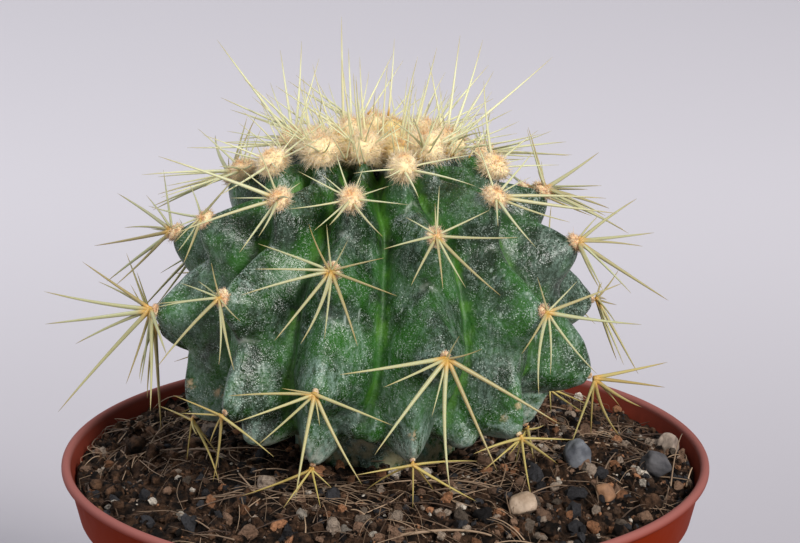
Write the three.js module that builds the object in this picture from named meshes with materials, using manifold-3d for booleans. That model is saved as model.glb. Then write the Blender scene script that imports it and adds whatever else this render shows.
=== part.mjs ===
// A young barrel cactus in its filled nursery pot. Millimetres, +Z up, front towards -Y, and the origin at
// the middle of the pot's foot. The plant grows as thirteen ribs of tubercles, each tubercle tipped by a
// woolly areole with its star of spines, round a woolly crown.
import * as THREE from 'three';
import { mergeVertices } from 'three/addons/utils/BufferGeometryUtils.js';
import { ImprovedNoise } from 'three/addons/math/ImprovedNoise.js';
import Module from 'manifold-3d';

const wasm = await Module();
wasm.setup();

const { clamp, degToRad, lerp, radToDeg, seededRandom, smoothstep } = THREE.MathUtils;

// Clearance between pieces that touch, and the length below which edges left by a join are dropped
const GAP = 0.3;
const FINEST_EDGE = 0.06;

// Turn between one repeat and the next where repeats are strewn round a middle
const GOLDEN_ANGLE = 2.4;

// Pot: outside radii at the foot, under the collar, at the collar and at the lip
const POT_HEIGHT = 68;
const POT_FOOT_RADIUS = 28.5;
const POT_NECK_RADIUS = 38.4;
const POT_COLLAR_RADIUS = 40.3;
const POT_LIP_RADIUS = 42.5;
const POT_WALL = 0.8;
const POT_FLOOR = 1.4;
const COLLAR_HEIGHT = 7.2;
const LIP_HEIGHT = 1.1;
const LIP_WIDTH = 1.2;
const LIP_ROUND = 0.2;
const COLLAR_STEP = 1.2;
const POT_BEVEL = 0.8;
const POT_SIDES = 44;
const DRAIN_COUNT = 6;
const DRAIN_RADIUS = 2.6;
const DRAIN_CIRCLE = 20;

// Soil: levels are measured from the top of the lip
const SOIL_AT_WALL = -2.6;
const SOIL_AT_PLANT = 2.4;
const SOIL_SHOULDER = 17;
const SOIL_RELIEF = 0.55;
const SOIL_SIDES = 44;
const SOIL_RINGS = 8;
const SOIL_WALL_RADIUS = 40.1;
const SOIL_HOLE_RADIUS = 11.1;
const SOIL_UNDER_PLANT = 0.7;
const GRIT_COUNT = 12;
const GRIT_SIZE = [1.8, 3.2];
const GRIT_CIRCLES = [22, 37.5];

// Body: a squarish egg through the areoles, cut back between them
const RIBS = 13;
const RIB_PITCH = 360 / RIBS;
const BODY_OFFSET_X = -1.3;
const BODY_MIDDLE = POT_HEIGHT + 18.6;
const BODY_RADIUS = 31;
const BODY_TOP = 24.9;
const BODY_LOW = 16.9;
const BODY_SQUARENESS = 2.2;
const BODY_FAR_GIRTH = 0.92;
const GIRTH_TURNS = [50, 95];
const CROWN_EDGE = 60;
const CROWN_DISH = 2.6;
const CROWN_DISH_SPREAD = 15;
const FURROW_DEPTH = 7.6;
const FURROW_FLOOR = 0.4;
const FURROW_AT_CROWN = 0.3;
const FURROW_AT_FOOT = 0.8;
const FLANK_CURVE = 1.15;
const NECK_RADIUS = 10.5;
const NECK_DEPTH = 24;
const FIRST_RIB_TURN = -12.1;
const BODY_COLUMNS = RIBS * 6;
const BODY_ROWS = 30;

// Tubercle: how far it runs up and down the rib from its areole, and how much of its tip is cut flat
const TUBERCLE_ABOVE = 12;
const TUBERCLE_BELOW = 5.4;
const TUBERCLE_CAP = 1.16;
const YOUNG_TUBERCLE = 0.62;

// Bare old tubercles low between the front ribs, as [azimuth, elevation, height from 0 to 1]
const OLD_TUBERCLES = [[-37, -21, 0.95], [-3, -22, 0.55], [31, -26, 0.75]];
const OLD_TUBERCLE_RADIUS = 4.5;

// Every areole as [elevation above the body's middle, lean of its rib to the right there], in degrees, from
// the crown down. The first rib is the one nearest the front, and the others follow it to the right.
const AREOLES = [
  [[73, 0], [47.5, 3], [27.5, 0.8], [0, -1.3], [-30, -8.7]],
  [[59.5, -1.4], [36, 2.2], [8, 0.4], [-22, -5.2]],
  [[68.4, -2], [44.4, 2.8], [14.3, 0.3], [-16.5, -3.5]],
  [[53.4, -5], [25.5, 1], [-10.5, 4], [-32, 4]],
  [[68, 0], [36, 3], [3, 0], [-24, 0]],
  [[70, 0], [48, 0], [29, 0], [0, 0], [-25, 0]],
  [[60, 0], [36, 0], [8.5, 0], [-18, 0]],
  [[67, 0], [44, 0], [17, 0], [-9, 0], [-30, 0]],
  [[74, 0], [52, 0], [26, 0], [-2, 0], [-26, 0]],
  [[60, 2], [36, 2], [8.5, 0], [-18, 0]],
  [[71, 6], [49.5, 11], [24.5, 7], [-4, 0], [-28, 0]],
  [[56, 9], [34, 5.5], [8.5, -1], [-22, 0]],
  [[65.4, 1.1], [45, 3.7], [18, 0.2], [-9, 1.8]],
];
const CROWN_ELEVATION = 66;

// Wool and spines
const OLDEST_PAD_RADIUS = 0.9;
const PAD_RADIUS = 1.35;
const YOUNG_PAD_RADIUS = 2;
const PAD_HEIGHT = 0.9;
const SPINE_RADIUS = 0.4;
const YOUNG_LIFT = 24;
const YOUNG_ELEVATIONS = [50, 80];
const STEEPEST_LIFT = 88;
const SHORTEST_SPINE = 2.5;
const SPINE_CLEARANCE = 0.15;
const SOIL_CLEARANCE = 0.5;

// Sprays of spines as [clock direction in degrees, lift in degrees, length]: clock 0 points right and 90 up
// the rib, seen from outside, and a spine with no lift lies along the plant's skin. Each key is the areole
// in front that has the spray, as rib and rank.
const SPRAYS = {
  '1_2': [[213, 15, 8.5], [160, 15, 7.5], [145, 15, 5], [113, 15, 7.5], [77, 15, 4.5], [15, 15, 5],
    [340, 15, 8.5], [301, 15, 11], [268, 30, 13], [249, 15, 9]],
  '1_3': [[121, 50, 7], [96, 40, 6], [50, 45, 5], [12, 15, 7], [338, 15, 10], [296, 15, 12],
    [275, 15, 10], [264, 27, 13], [244, 15, 12], [206, 15, 11.5], [192, 25, 9.5], [167, 15, 9.5]],
  '1_4': [[169, 15, 4], [181, 15, 10.5], [197, 30, 10.5], [224, 15, 9.5], [265, 25, 13], [284, 15, 4],
    [304, 15, 12.5], [348, 15, 11]],
  '1_5': [[171, 29, 9.5], [123, 59, 6.5], [141, 66, 4], [37, 54, 6], [327, 32, 3.5]],
  '2_1': [[210, 10, 9], [340, 15, 9.5], [300, 10, 13], [263, 5, 14], [240, 10, 9.5], [103, 15, 7],
    [69, 15, 10.5], [45, 15, 9]],
  '2_2': [[148, 15, 4.5], [86, 30, 4], [76, 15, 6.5], [15, 15, 7.5], [343, 15, 10], [293, 15, 12.5],
    [276, 15, 9.5], [258, 15, 9.5], [235, 15, 10.5], [202, 15, 9.5]],
  '2_3': [[181, 15, 15], [193, 25, 10.5], [222, 15, 16], [248, 15, 7.5], [265, 15, 16.5], [289, 15, 15],
    [326, 15, 16], [24, 50, 5.5], [80, 50, 5]],
  '2_4': [[228, 8, 8], [267, 60, 5.5], [302, 17, 6.5], [335, 24, 10], [170, 10, 8], [15, 5, 8]],
  '3_2': [[21, 15, 10], [2, 15, 6], [330, 12, 14.5], [318, 13, 15.5], [295, 15, 10], [240, 12, 13],
    [217, 13, 10], [90, 30, 8]],
  '3_3': [[33, 20, 5.5], [6, 15, 11.5], [340, 15, 13.5], [293, 15, 10], [243, 15, 8.5], [232, 15, 12],
    [206, 15, 9], [110, 15, 5]],
  '3_4': [[165, 8, 11], [189, 6, 7.5], [284, 44, 8.5], [282, 15, 4.5], [322, 6, 13], [358, 15, 8]],
  '4_1': [[46, 15, 8.5], [27, 15, 13.5], [0, 15, 10.5], [315, 13, 9], [105, 15, 4], [333, 15, 5]],
  '4_2': [[12, 25, 5.5], [0, 30, 12], [335, 25, 13], [320, 30, 9.5], [296, 15, 15], [275, 13, 9.5],
    [230, 10, 8.5], [212, 12, 12]],
  '4_3': [[12, 30, 14], [0, 40, 13], [328, 30, 9], [338, 30, 14], [313, 30, 13], [290, 20, 9.5],
    [265, 10, 10]],
  '11_3': [[231, 30, 13.5], [215, 30, 9.5], [245, 13, 13.5], [262, 12, 11], [192, 32, 14], [178, 30, 9],
    [205, 15, 7], [100, 40, 8]],
  '12_2': [[153, 17, 6], [200, 20, 8.5], [245, 20, 4], [305, 14, 7], [320, 12, 10.5], [282, 15, 5],
    [60, 15, 8]],
  '12_3': [[172, 30, 9.5], [186, 48, 15], [208, 42, 15.5], [221, 30, 13], [252, 28, 18.5], [275, 13, 10],
    [350, 8, 13], [290, 7, 9.5], [310, 6, 14], [160, 35, 12]],
  '13_2': [[48, 15, 5], [108, 32, 8], [127, 32, 8.5], [175, 20, 6.5], [208, 15, 6], [210, 30, 16],
    [238, 14, 14], [284, 13, 12.5], [297, 14, 11.5], [327, 15, 10.5]],
  '13_3': [[174, 20, 5.5], [200, 20, 8.5], [207, 30, 8], [248, 17, 11.5], [300, 15, 9.5], [313, 15, 11.5],
    [338, 15, 6], [157, 20, 3.5], [90, 40, 5]],
  '13_4': [[151, 15, 6.5], [175, 20, 5.5], [240, 15, 5], [255, 16, 10], [342, 11, 9.5]],
};

// The other areoles borrow these sprays in turn, the low ones from low ones
const LOW_ELEVATION = -8;
const SPRAY_STEP = 3;

// Crown: its cushion of wool and the upright spines that stand in it
const WOOL_RADIUS = 11.6;
const WOOL_HEIGHT = 4.3;
const WOOL_CLEARANCE = 0.4;
const UPRIGHT_COUNT = 10;
const UPRIGHT_LENGTH = 12;
const UPRIGHT_CIRCLE = 6.5;
const UPRIGHT_ROOT = 1.4;
const UPRIGHT_LEAN = 3;
const TALLEST_LENGTH = 15.4;
const TALLEST_AT = [-4.2, 8];
const TALLEST_LIFT = 87;

// Pebbles: name, place across and in depth, size, turn and colour
const PEBBLE_LIFT = 1.2;
const PEBBLES = [
  { name: 'pebble_blue', at: [24.8, -8.2], size: [3.7, 3.4, 5.4], turn: 20, color: 0x586069 },
  { name: 'pebble_dark', at: [35.3, -2.2], size: [4.6, 4.2, 4.4], turn: 55, color: 0x3b3938 },
  { name: 'pebble_split', at: [37.8, 7.2], size: [3.0, 3.9, 3.6], turn: 12, color: 0x8d8378 },
  { name: 'pebble_tan', at: [17.1, -23.4], size: [3.4, 3.0, 3.2], turn: 10, color: 0xb49c80 },
  { name: 'pebble_orange', at: [28.0, -15.9], size: [2.7, 2.3, 2.5], turn: 130, color: 0xa56a45 },
];

const SOCKET_ROOM = 0.72;

const noise = new ImprovedNoise();

// Turns a closed geometry into a solid that can be joined or cut.
function toSolid(geometry) {
  const bare = new THREE.BufferGeometry();
  bare.setAttribute('position', geometry.getAttribute('position'));
  bare.setIndex(geometry.getIndex());
  const merged = mergeVertices(bare, 1e-4);
  return new wasm.Manifold(new wasm.Mesh({
    numProp: 3,
    vertProperties: new Float32Array(merged.getAttribute('position').array),
    triVerts: new Uint32Array(merged.getIndex().array),
  }));
}

// Turns a solid back into a geometry.
function toGeometry(solid) {
  const { vertProperties, triVerts } = solid.getMesh();
  const geometry = new THREE.BufferGeometry();
  geometry.setAttribute('position', new THREE.BufferAttribute(vertProperties, 3));
  geometry.setIndex(new THREE.BufferAttribute(triVerts, 1));
  geometry.computeVertexNormals();
  return geometry;
}

function namedMesh(name, geometry, color, roughness) {
  const material = new THREE.MeshStandardMaterial({ color, roughness, metalness: 0 });
  const mesh = new THREE.Mesh(geometry, material);
  mesh.name = name;
  return mesh;
}

// A turned solid: the profile's points are [radius, height], and it stands along +Z.
function turned(profile, sides) {
  const points = profile.map(([radius, height]) => new THREE.Vector2(radius, height));
  return new THREE.LatheGeometry(points, sides).rotateX(Math.PI / 2);
}

// Moves every vertex of a geometry to the place that the rule gives for it.
function reshape(geometry, rule) {
  const position = geometry.getAttribute('position');
  const point = new THREE.Vector3();
  for (let i = 0; i < position.count; i += 1) {
    rule(point.fromBufferAttribute(position, i));
    position.setXYZ(i, point.x, point.y, point.z);
  }
  return geometry;
}

// Outside radius of the pot's main wall at a height above its foot.
function potRadius(height) {
  return lerp(POT_FOOT_RADIUS, POT_NECK_RADIUS, height / (POT_HEIGHT - COLLAR_HEIGHT));
}

function makePot() {
  const step = POT_HEIGHT - COLLAR_HEIGHT;
  const lip = POT_HEIGHT - LIP_HEIGHT;
  const collarTop = POT_LIP_RADIUS - POT_BEVEL;
  const inside = POT_LIP_RADIUS - LIP_WIDTH;
  const profile = [
    [0, 0],
    [POT_FOOT_RADIUS - POT_BEVEL, 0],
    [POT_FOOT_RADIUS, POT_BEVEL],
    [potRadius(step - COLLAR_STEP), step - COLLAR_STEP],
    [POT_COLLAR_RADIUS - POT_BEVEL / 2, step],
    [POT_COLLAR_RADIUS, step + POT_BEVEL],
    [collarTop, lip - LIP_ROUND],
    [POT_LIP_RADIUS, lip + LIP_ROUND],
    [POT_LIP_RADIUS - LIP_ROUND, POT_HEIGHT - LIP_ROUND],
    [POT_LIP_RADIUS - LIP_WIDTH / 2, POT_HEIGHT],
    [inside, POT_HEIGHT - LIP_ROUND],
    [POT_COLLAR_RADIUS - POT_WALL, step + POT_BEVEL],
    [potRadius(step - COLLAR_STEP) - POT_WALL, step - COLLAR_STEP],
    [potRadius(POT_FLOOR) - POT_WALL, POT_FLOOR],
    [0, POT_FLOOR],
  ];
  let pot = toSolid(turned(profile, POT_SIDES));
  for (let i = 0; i < DRAIN_COUNT; i += 1) {
    const angle = (i + 0.5) / DRAIN_COUNT * 2 * Math.PI;
    const drill = new THREE.CylinderGeometry(DRAIN_RADIUS, DRAIN_RADIUS, 4 * POT_FLOOR, 12);
    drill.rotateX(Math.PI / 2);
    drill.translate(DRAIN_CIRCLE * Math.cos(angle), DRAIN_CIRCLE * Math.sin(angle), 0);
    pot = pot.subtract(toSolid(drill));
  }
  return pot;
}

// Share of its full width that the plant has at an azimuth and an elevation. Its far side is narrower than
// its front, and the two meet halfway at the crown.
function girth(turn, elevation) {
  const side = Math.abs(((turn + 540) % 360) - 180);
  const round = smoothstep(side, ...GIRTH_TURNS);
  return lerp(1, BODY_FAR_GIRTH, lerp(round, 0.5, smoothstep(elevation, CROWN_EDGE, 90)));
}

// Distance from the body's middle to the egg through the areoles. Angles here are in degrees.
function eggReach(turn, elevation) {
  const rise = degToRad(elevation);
  const half = elevation > 0 ? BODY_TOP : BODY_LOW;
  const across = Math.abs(Math.cos(rise) / BODY_RADIUS) ** BODY_SQUARENESS;
  const along = Math.abs(Math.sin(rise) / half) ** BODY_SQUARENESS;
  const dish = CROWN_DISH * Math.exp(-(((90 - elevation) / CROWN_DISH_SPREAD) ** 2));
  return girth(turn, elevation) * ((across + along) ** (-1 / BODY_SQUARENESS) - dish);
}

// Azimuth of a rib at an elevation: 0 faces the front and positive turns to the right. The rib runs through
// its own areoles.
function ribTurn(rib, elevation) {
  const tips = AREOLES[rib];
  const above = tips.filter(([level]) => level >= elevation).length;
  const next = clamp(above, 1, tips.length - 1);
  const [[high, highLean], [low, lowLean]] = [tips[next - 1], tips[next]];
  const lean = lerp(lowLean, highLean, clamp((elevation - low) / (high - low), 0, 1));
  return FIRST_RIB_TURN + rib * RIB_PITCH + lean;
}

// Point at an azimuth, an elevation and a distance from the body's middle.
function bodyPoint(turn, elevation, reach) {
  const level = reach * Math.cos(degToRad(elevation));
  return new THREE.Vector3(
    BODY_OFFSET_X + level * Math.sin(degToRad(turn)),
    -level * Math.cos(degToRad(turn)),
    BODY_MIDDLE + reach * Math.sin(degToRad(elevation)),
  );
}

function listAreoles() {
  const places = [];
  AREOLES.forEach((tips, rib) => {
    tips.forEach(([elevation], rank) => {
      const turn = ribTurn(rib, elevation);
      places.push({ rib, rank, elevation, turn, reach: eggReach(turn, elevation) });
    });
  });
  return places;
}

const areolePlaces = listAreoles();
const crownLevel = BODY_MIDDLE + eggReach(0, 90);

// Height of a rib's flank, from 1 on its crest to 0 in the furrow.
function flank(turn, crest, width) {
  const side = Math.abs(((turn - crest + 540) % 360) - 180);
  return (1 - Math.min(1, 2 * side / (RIB_PITCH * width))) ** FLANK_CURVE;
}

// Height of one tubercle, from 0 to 1: a ridge that widens and rises down the rib to its areole, and
// falls away rounded below it.
function tubercle(place, turn, elevation, reach) {
  const below = degToRad(place.elevation - elevation) * (reach + place.reach) / 2;
  const size = lerp(1, YOUNG_TUBERCLE, smoothstep(place.elevation, 30, 75));
  const above = clamp(-below / (TUBERCLE_ABOVE * size), 0, 1);
  const along = below < 0 ? (1 - above) ** 0.8 : Math.exp(-((below / (TUBERCLE_BELOW * size)) ** 2));
  return along * flank(turn, place.turn, lerp(1, 0.5, above));
}

// Height of a bare old tubercle, from 0 to 1: a knob that falls away on all sides as a bell curve.
function oldTubercle([knobTurn, knobElevation, height], turn, elevation, reach) {
  const side = Math.abs(((turn - knobTurn + 540) % 360) - 180);
  const across = degToRad(side) * Math.cos(degToRad(elevation)) * reach;
  const along = degToRad(elevation - knobElevation) * reach;
  return height * Math.exp(-((Math.hypot(across, along) / OLD_TUBERCLE_RADIUS) ** 2));
}

// Distance from the body's middle to its skin.
function bodyReach(turn, elevation) {
  const egg = eggReach(turn, elevation);
  let sum = 0;
  for (const place of areolePlaces) {
    sum += tubercle(place, turn, elevation, egg) ** 6;
  }
  for (const knob of OLD_TUBERCLES) {
    sum += oldTubercle(knob, turn, elevation, egg) ** 6;
  }
  for (let rib = 0; rib < RIBS; rib += 1) {
    sum += (FURROW_FLOOR * flank(turn, ribTurn(rib, elevation), 1)) ** 6;
  }
  const height = Math.min(1, TUBERCLE_CAP * sum ** (1 / 6));
  const depth = FURROW_DEPTH
    * lerp(1, FURROW_AT_CROWN, smoothstep(elevation, 25, 85))
    * lerp(1, FURROW_AT_FOOT, smoothstep(-elevation, 15, 50));
  const neck = elevation < -20
    ? Math.min(NECK_RADIUS / Math.cos(degToRad(elevation)), NECK_DEPTH / Math.sin(degToRad(-elevation)))
    : 0;
  return Math.max(egg - depth * (1 - height), neck);
}

// The body's skin as a closed solid, grown outwards by an allowance. Its columns follow the leaning ribs.
function makeBody(allowance) {
  const ball = new THREE.SphereGeometry(1, BODY_COLUMNS, BODY_ROWS).rotateX(Math.PI / 2);
  return toSolid(reshape(ball, (point) => {
    const elevation = radToDeg(Math.asin(clamp(point.z, -1, 1)));
    const place = ((radToDeg(Math.atan2(point.y, point.x)) + 360) % 360) / RIB_PITCH;
    const rib = Math.floor(place) % RIBS;
    const nextTurn = rib === RIBS - 1 ? ribTurn(0, elevation) + 360 : ribTurn(rib + 1, elevation);
    const turn = lerp(ribTurn(rib, elevation), nextTurn, place % 1);
    point.copy(bodyPoint(turn, elevation, bodyReach(turn, elevation) + allowance));
  }));
}

// Level of the soil's surface at a place, kept below the plant's rounded foot.
function soilLevel(x, y) {
  const radius = Math.hypot(x, y);
  const slope = smoothstep(radius, SOIL_SHOULDER, POT_LIP_RADIUS);
  const relief = SOIL_RELIEF * noise.noise(x / 4, y / 4, 3.5) + SOIL_RELIEF * noise.noise(x / 9, y / 9, 8.5);
  const mound = lerp(SOIL_AT_PLANT, SOIL_AT_WALL, slope) + relief;
  const out = Math.min(1, Math.hypot(x - BODY_OFFSET_X, y) / BODY_RADIUS);
  const foot = BODY_MIDDLE - BODY_LOW * (1 - out ** BODY_SQUARENESS) ** (1 / BODY_SQUARENESS);
  return Math.min(POT_HEIGHT + mound, foot - SOIL_UNDER_PLANT);
}

// A stone with flattened faces: a ball of few faces whose corners are pushed in and out.
function makeStone(size, seed, detail) {
  const ball = new THREE.IcosahedronGeometry(1, detail);
  return reshape(ball, (point) => {
    const knock = 1 + 0.28 * noise.noise(point.x * 1.3 + seed, point.y * 1.3, point.z * 1.3);
    point.set(point.x * size[0] / 2, point.y * size[1] / 2, point.z * size[2] / 2).multiplyScalar(knock);
  });
}

function makeSoil() {
  const inner = potRadius(POT_FLOOR) - POT_WALL - GAP;
  const top = POT_HEIGHT + SOIL_AT_WALL;
  const holeFloor = BODY_MIDDLE - NECK_DEPTH - GAP;
  const profile = [[0, POT_FLOOR + GAP], [inner, POT_FLOOR + GAP]];
  const step = POT_HEIGHT - COLLAR_HEIGHT;
  profile.push([potRadius(step - COLLAR_STEP) - POT_WALL - GAP, step - COLLAR_STEP]);
  profile.push([POT_COLLAR_RADIUS - POT_WALL - GAP, step + POT_BEVEL]);
  for (let i = 0; i <= SOIL_RINGS; i += 1) {
    profile.push([lerp(SOIL_WALL_RADIUS, SOIL_HOLE_RADIUS, i / SOIL_RINGS), top]);
  }
  profile.push([SOIL_HOLE_RADIUS, holeFloor], [0, holeFloor]);
  const lathe = turned(profile, SOIL_SIDES);
  reshape(lathe, (point) => {
    const radius = Math.hypot(point.x, point.y);
    if (Math.abs(point.z - top) < 0.01) {
      point.z = soilLevel(point.x, point.y);
    }
    if (radius < SOIL_HOLE_RADIUS + 0.01) {
      point.x += BODY_OFFSET_X;
    }
  });
  let soil = toSolid(lathe);
  seededRandom(41);
  for (let i = 0; i < GRIT_COUNT; i += 1) {
    const angle = i * GOLDEN_ANGLE;
    const radius = lerp(...GRIT_CIRCLES, Math.sqrt((i + 0.5) / GRIT_COUNT));
    const x = radius * Math.cos(angle);
    const y = radius * Math.sin(angle);
    const size = lerp(...GRIT_SIZE, seededRandom());
    const grit = makeStone([size, size * 0.8, size * 0.8], i, 0);
    grit.rotateZ(angle * 3);
    grit.translate(x, y, soilLevel(x, y) + 0.1);
    soil = soil.add(toSolid(grit));
  }
  return soil;
}

// Frame of an areole: x to the right, y up the rib and z out of the plant, on the skin at the tubercle's tip.
function areoleFrame(place) {
  const [lower, upper] = [-2, 2].map((step) => {
    const elevation = place.elevation + step;
    return bodyPoint(place.turn, elevation, eggReach(place.turn, elevation));
  });
  const up = upper.sub(lower).normalize();
  const right = new THREE.Vector3(Math.cos(degToRad(place.turn)), Math.sin(degToRad(place.turn)), 0);
  const out = new THREE.Vector3().crossVectors(right, up);
  const tip = bodyPoint(place.turn, place.elevation, bodyReach(place.turn, place.elevation));
  tip.addScaledVector(out, GAP + PAD_HEIGHT / 2);
  return new THREE.Matrix4().makeBasis(right, up, out).setPosition(tip);
}

// Straight run of a spine in its areole's frame.
function spineRun(clock, lift, length) {
  const flat = Math.cos(degToRad(lift)) * length;
  return new THREE.Vector3(
    flat * Math.cos(degToRad(clock)),
    flat * Math.sin(degToRad(clock)),
    Math.sin(degToRad(lift)) * length,
  );
}

// Three-sided spine from the frame's origin, thickest at its root and pointed at its end.
function makeSpine(run, radius) {
  const length = run.length();
  const cone = new THREE.ConeGeometry(radius, length, 3, 1).translate(0, length / 2, 0);
  const up = new THREE.Vector3(0, 1, 0);
  return cone.applyQuaternion(new THREE.Quaternion().setFromUnitVectors(up, run.clone().normalize()));
}

// True where a point keeps a distance from the plant's skin, the soil and the pot's wall.
function isFree(point, distance) {
  const away = point.clone().sub(new THREE.Vector3(BODY_OFFSET_X, 0, BODY_MIDDLE));
  const reach = away.length();
  const elevation = radToDeg(Math.asin(away.z / reach));
  const turn = radToDeg(Math.atan2(away.x, -away.y));
  if (reach < bodyReach(turn, elevation) + distance) {
    return false;
  }
  const radius = Math.hypot(point.x, point.y);
  if (point.z < POT_HEIGHT + 1 && radius > POT_LIP_RADIUS - LIP_WIDTH - distance - 1) {
    return false;
  }
  return radius > POT_LIP_RADIUS || point.z > soilLevel(point.x, point.y) + distance + SOIL_CLEARANCE;
}

// Spines already standing, each with the name of its node and its line in the part's frame.
const standing = [];

function clears(line, node) {
  for (let t = 0.2; t <= 1.001; t += 0.1) {
    const room = GAP + SPINE_CLEARANCE + SPINE_RADIUS * (1 - t);
    if (!isFree(line.at(t, new THREE.Vector3()), room)) {
      return false;
    }
  }
  const room = (2 * SPINE_RADIUS + GAP) ** 2;
  const a = new THREE.Vector3();
  const b = new THREE.Vector3();
  return standing.every((other) => other.node === node || line.distanceSqToLine3(other.line, a, b) > room);
}

// Small changes of [clock, lift] that are tried in turn until a spine passes clear of everything.
const NUDGES = [[0, 0], [0, 6], [5, 3], [-5, 3], [0, 12], [10, 6], [-10, 6], [0, 20], [16, 12], [-16, 12],
  [0, 30]];

// Settles one spine: it is turned a little, and shortened at need, until it passes clear.
function settleSpine(node, frame, clock, lift, length) {
  for (let reach = length; reach > SHORTEST_SPINE; reach *= 0.82) {
    for (const [turn, rise] of NUDGES) {
      const run = spineRun(clock + turn, Math.min(STEEPEST_LIFT, lift + rise), reach);
      const start = new THREE.Vector3().applyMatrix4(frame);
      const line = new THREE.Line3(start, run.clone().applyMatrix4(frame));
      if (clears(line, node)) {
        standing.push({ node, line });
        return run;
      }
    }
  }
  return null;
}

// Spray of an areole: its own, or else a borrowed one, turned over on every other rib.
function sprayOf({ rib, rank, elevation }) {
  const own = SPRAYS[`${rib + 1}_${rank + 1}`];
  const lenders = Object.keys(SPRAYS).filter((key) => {
    const [otherRib, otherRank] = key.split('_').map(Number);
    return AREOLES[otherRib - 1][otherRank - 1][0] < LOW_ELEVATION === elevation < LOW_ELEVATION;
  });
  const borrowed = SPRAYS[lenders[(SPRAY_STEP * rib + rank) % lenders.length]];
  return own ?? borrowed.map(([clock, lift, length]) => [rib % 2 ? clock : 180 - clock, lift, length]);
}

// Woolly pad under a star of spines, in the areole's own frame.
function makeStar(node, place, frame) {
  const young = smoothstep(place.elevation, 35, 62);
  const old = lerp(OLDEST_PAD_RADIUS, PAD_RADIUS, smoothstep(place.elevation, -30, 25));
  const radius = lerp(old, YOUNG_PAD_RADIUS, young);
  const pad = new THREE.IcosahedronGeometry(1, 0);
  pad.scale(radius, radius, PAD_HEIGHT / 2 + 0.5 * young);
  pad.translate(0, 0, 0.5 * young);
  const parts = [toSolid(pad)];
  const more = YOUNG_LIFT * smoothstep(place.elevation, ...YOUNG_ELEVATIONS);
  for (const [clock, lift, length] of sprayOf(place)) {
    const run = settleSpine(node, frame, clock, lift + more, length);
    if (run) {
      parts.push(toSolid(makeSpine(run, SPINE_RADIUS)));
    }
  }
  return wasm.Manifold.union(parts).asOriginal().simplify(FINEST_EDGE);
}

// Upright spine of the crown, rooted in its wool and leaning outwards from the vertical.
function makeUpright(x, y, length, lift) {
  const root = new THREE.Vector3(BODY_OFFSET_X + x, y, crownLevel + UPRIGHT_ROOT);
  const frame = new THREE.Matrix4().setPosition(root);
  const clock = radToDeg(Math.atan2(y, x));
  const run = settleSpine('crown', frame, clock, lift, length);
  return run ? toSolid(makeSpine(run, SPINE_RADIUS)).translate(root.toArray()) : null;
}

// Crown: a cushion of wool cut to the plant's dished top, with the youngest areoles and upright spines.
function makeCrown() {
  const wool = new THREE.SphereGeometry(1, 13, 6).rotateX(Math.PI / 2);
  wool.scale(WOOL_RADIUS, WOOL_RADIUS, WOOL_HEIGHT);
  wool.translate(BODY_OFFSET_X, 0, crownLevel);
  const parts = [toSolid(wool).subtract(makeBody(WOOL_CLEARANCE).simplify(GAP / 2))];
  parts.push(makeUpright(...TALLEST_AT, TALLEST_LENGTH, TALLEST_LIFT));
  for (let i = 0; i < UPRIGHT_COUNT; i += 1) {
    const angle = i * GOLDEN_ANGLE + 1;
    const radius = UPRIGHT_CIRCLE * Math.sqrt((i + 0.5) / UPRIGHT_COUNT);
    const length = UPRIGHT_LENGTH + (i % 3) - 1;
    const lift = STEEPEST_LIFT - UPRIGHT_LEAN * radius;
    parts.push(makeUpright(radius * Math.cos(angle), radius * Math.sin(angle), length, lift));
  }
  for (const place of areolePlaces.filter(({ elevation }) => elevation >= CROWN_ELEVATION)) {
    const frame = areoleFrame(place);
    parts.push(makeStar('crown', place, frame).transform(frame.toArray()));
  }
  return wasm.Manifold.union(parts.filter((part) => part)).asOriginal().simplify(FINEST_EDGE);
}

const group = new THREE.Group();
const body = makeBody(0);
const pot = makePot();
let soil = makeSoil();

for (const pebble of PEBBLES) {
  const [x, y] = pebble.at;
  const level = soilLevel(x, y) + PEBBLE_LIFT;
  const place = (geometry) => geometry.rotateZ(degToRad(pebble.turn)).translate(x, y, level);
  const stone = place(makeStone(pebble.size, x, 1));
  const socket = place(makeStone(pebble.size.map((side) => side + SOCKET_ROOM), x, 1));
  soil = soil.subtract(toSolid(socket));
  group.add(namedMesh(pebble.name, toGeometry(toSolid(stone)), pebble.color, 0.8));
}

group.add(namedMesh('pot', toGeometry(pot), 0xa6452c, 0.45));
group.add(namedMesh('soil', toGeometry(soil.asOriginal().simplify(FINEST_EDGE)), 0x3b2c22, 0.95));
group.add(namedMesh('body', toGeometry(body), 0x2e5e3a, 0.4));
group.add(namedMesh('crown', toGeometry(makeCrown()), 0xe6d6a4, 0.8));

for (const place of areolePlaces) {
  if (place.elevation < CROWN_ELEVATION) {
    const node = `areole_${place.rib + 1}_${place.rank + 1}`;
    const frame = areoleFrame(place);
    const mesh = namedMesh(node, toGeometry(makeStar(node, place, frame)), 0xe2cf9a, 0.6);
    mesh.applyMatrix4(frame);
    group.add(mesh);
  }
}

export default group;
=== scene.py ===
"""Looks of a potted barrel cactus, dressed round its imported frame.

Sizes in the classes are millimetres and angles are degrees, as the maker of the part states them; make_mesh
turns them into metres. Azimuth 0 faces the front, -Y, and turns to the right, towards +X.
"""

import logging
import math
from dataclasses import dataclass, field
from enum import Enum

import bpy
import numpy as np
from mathutils import Euler, Matrix, Vector


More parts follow.
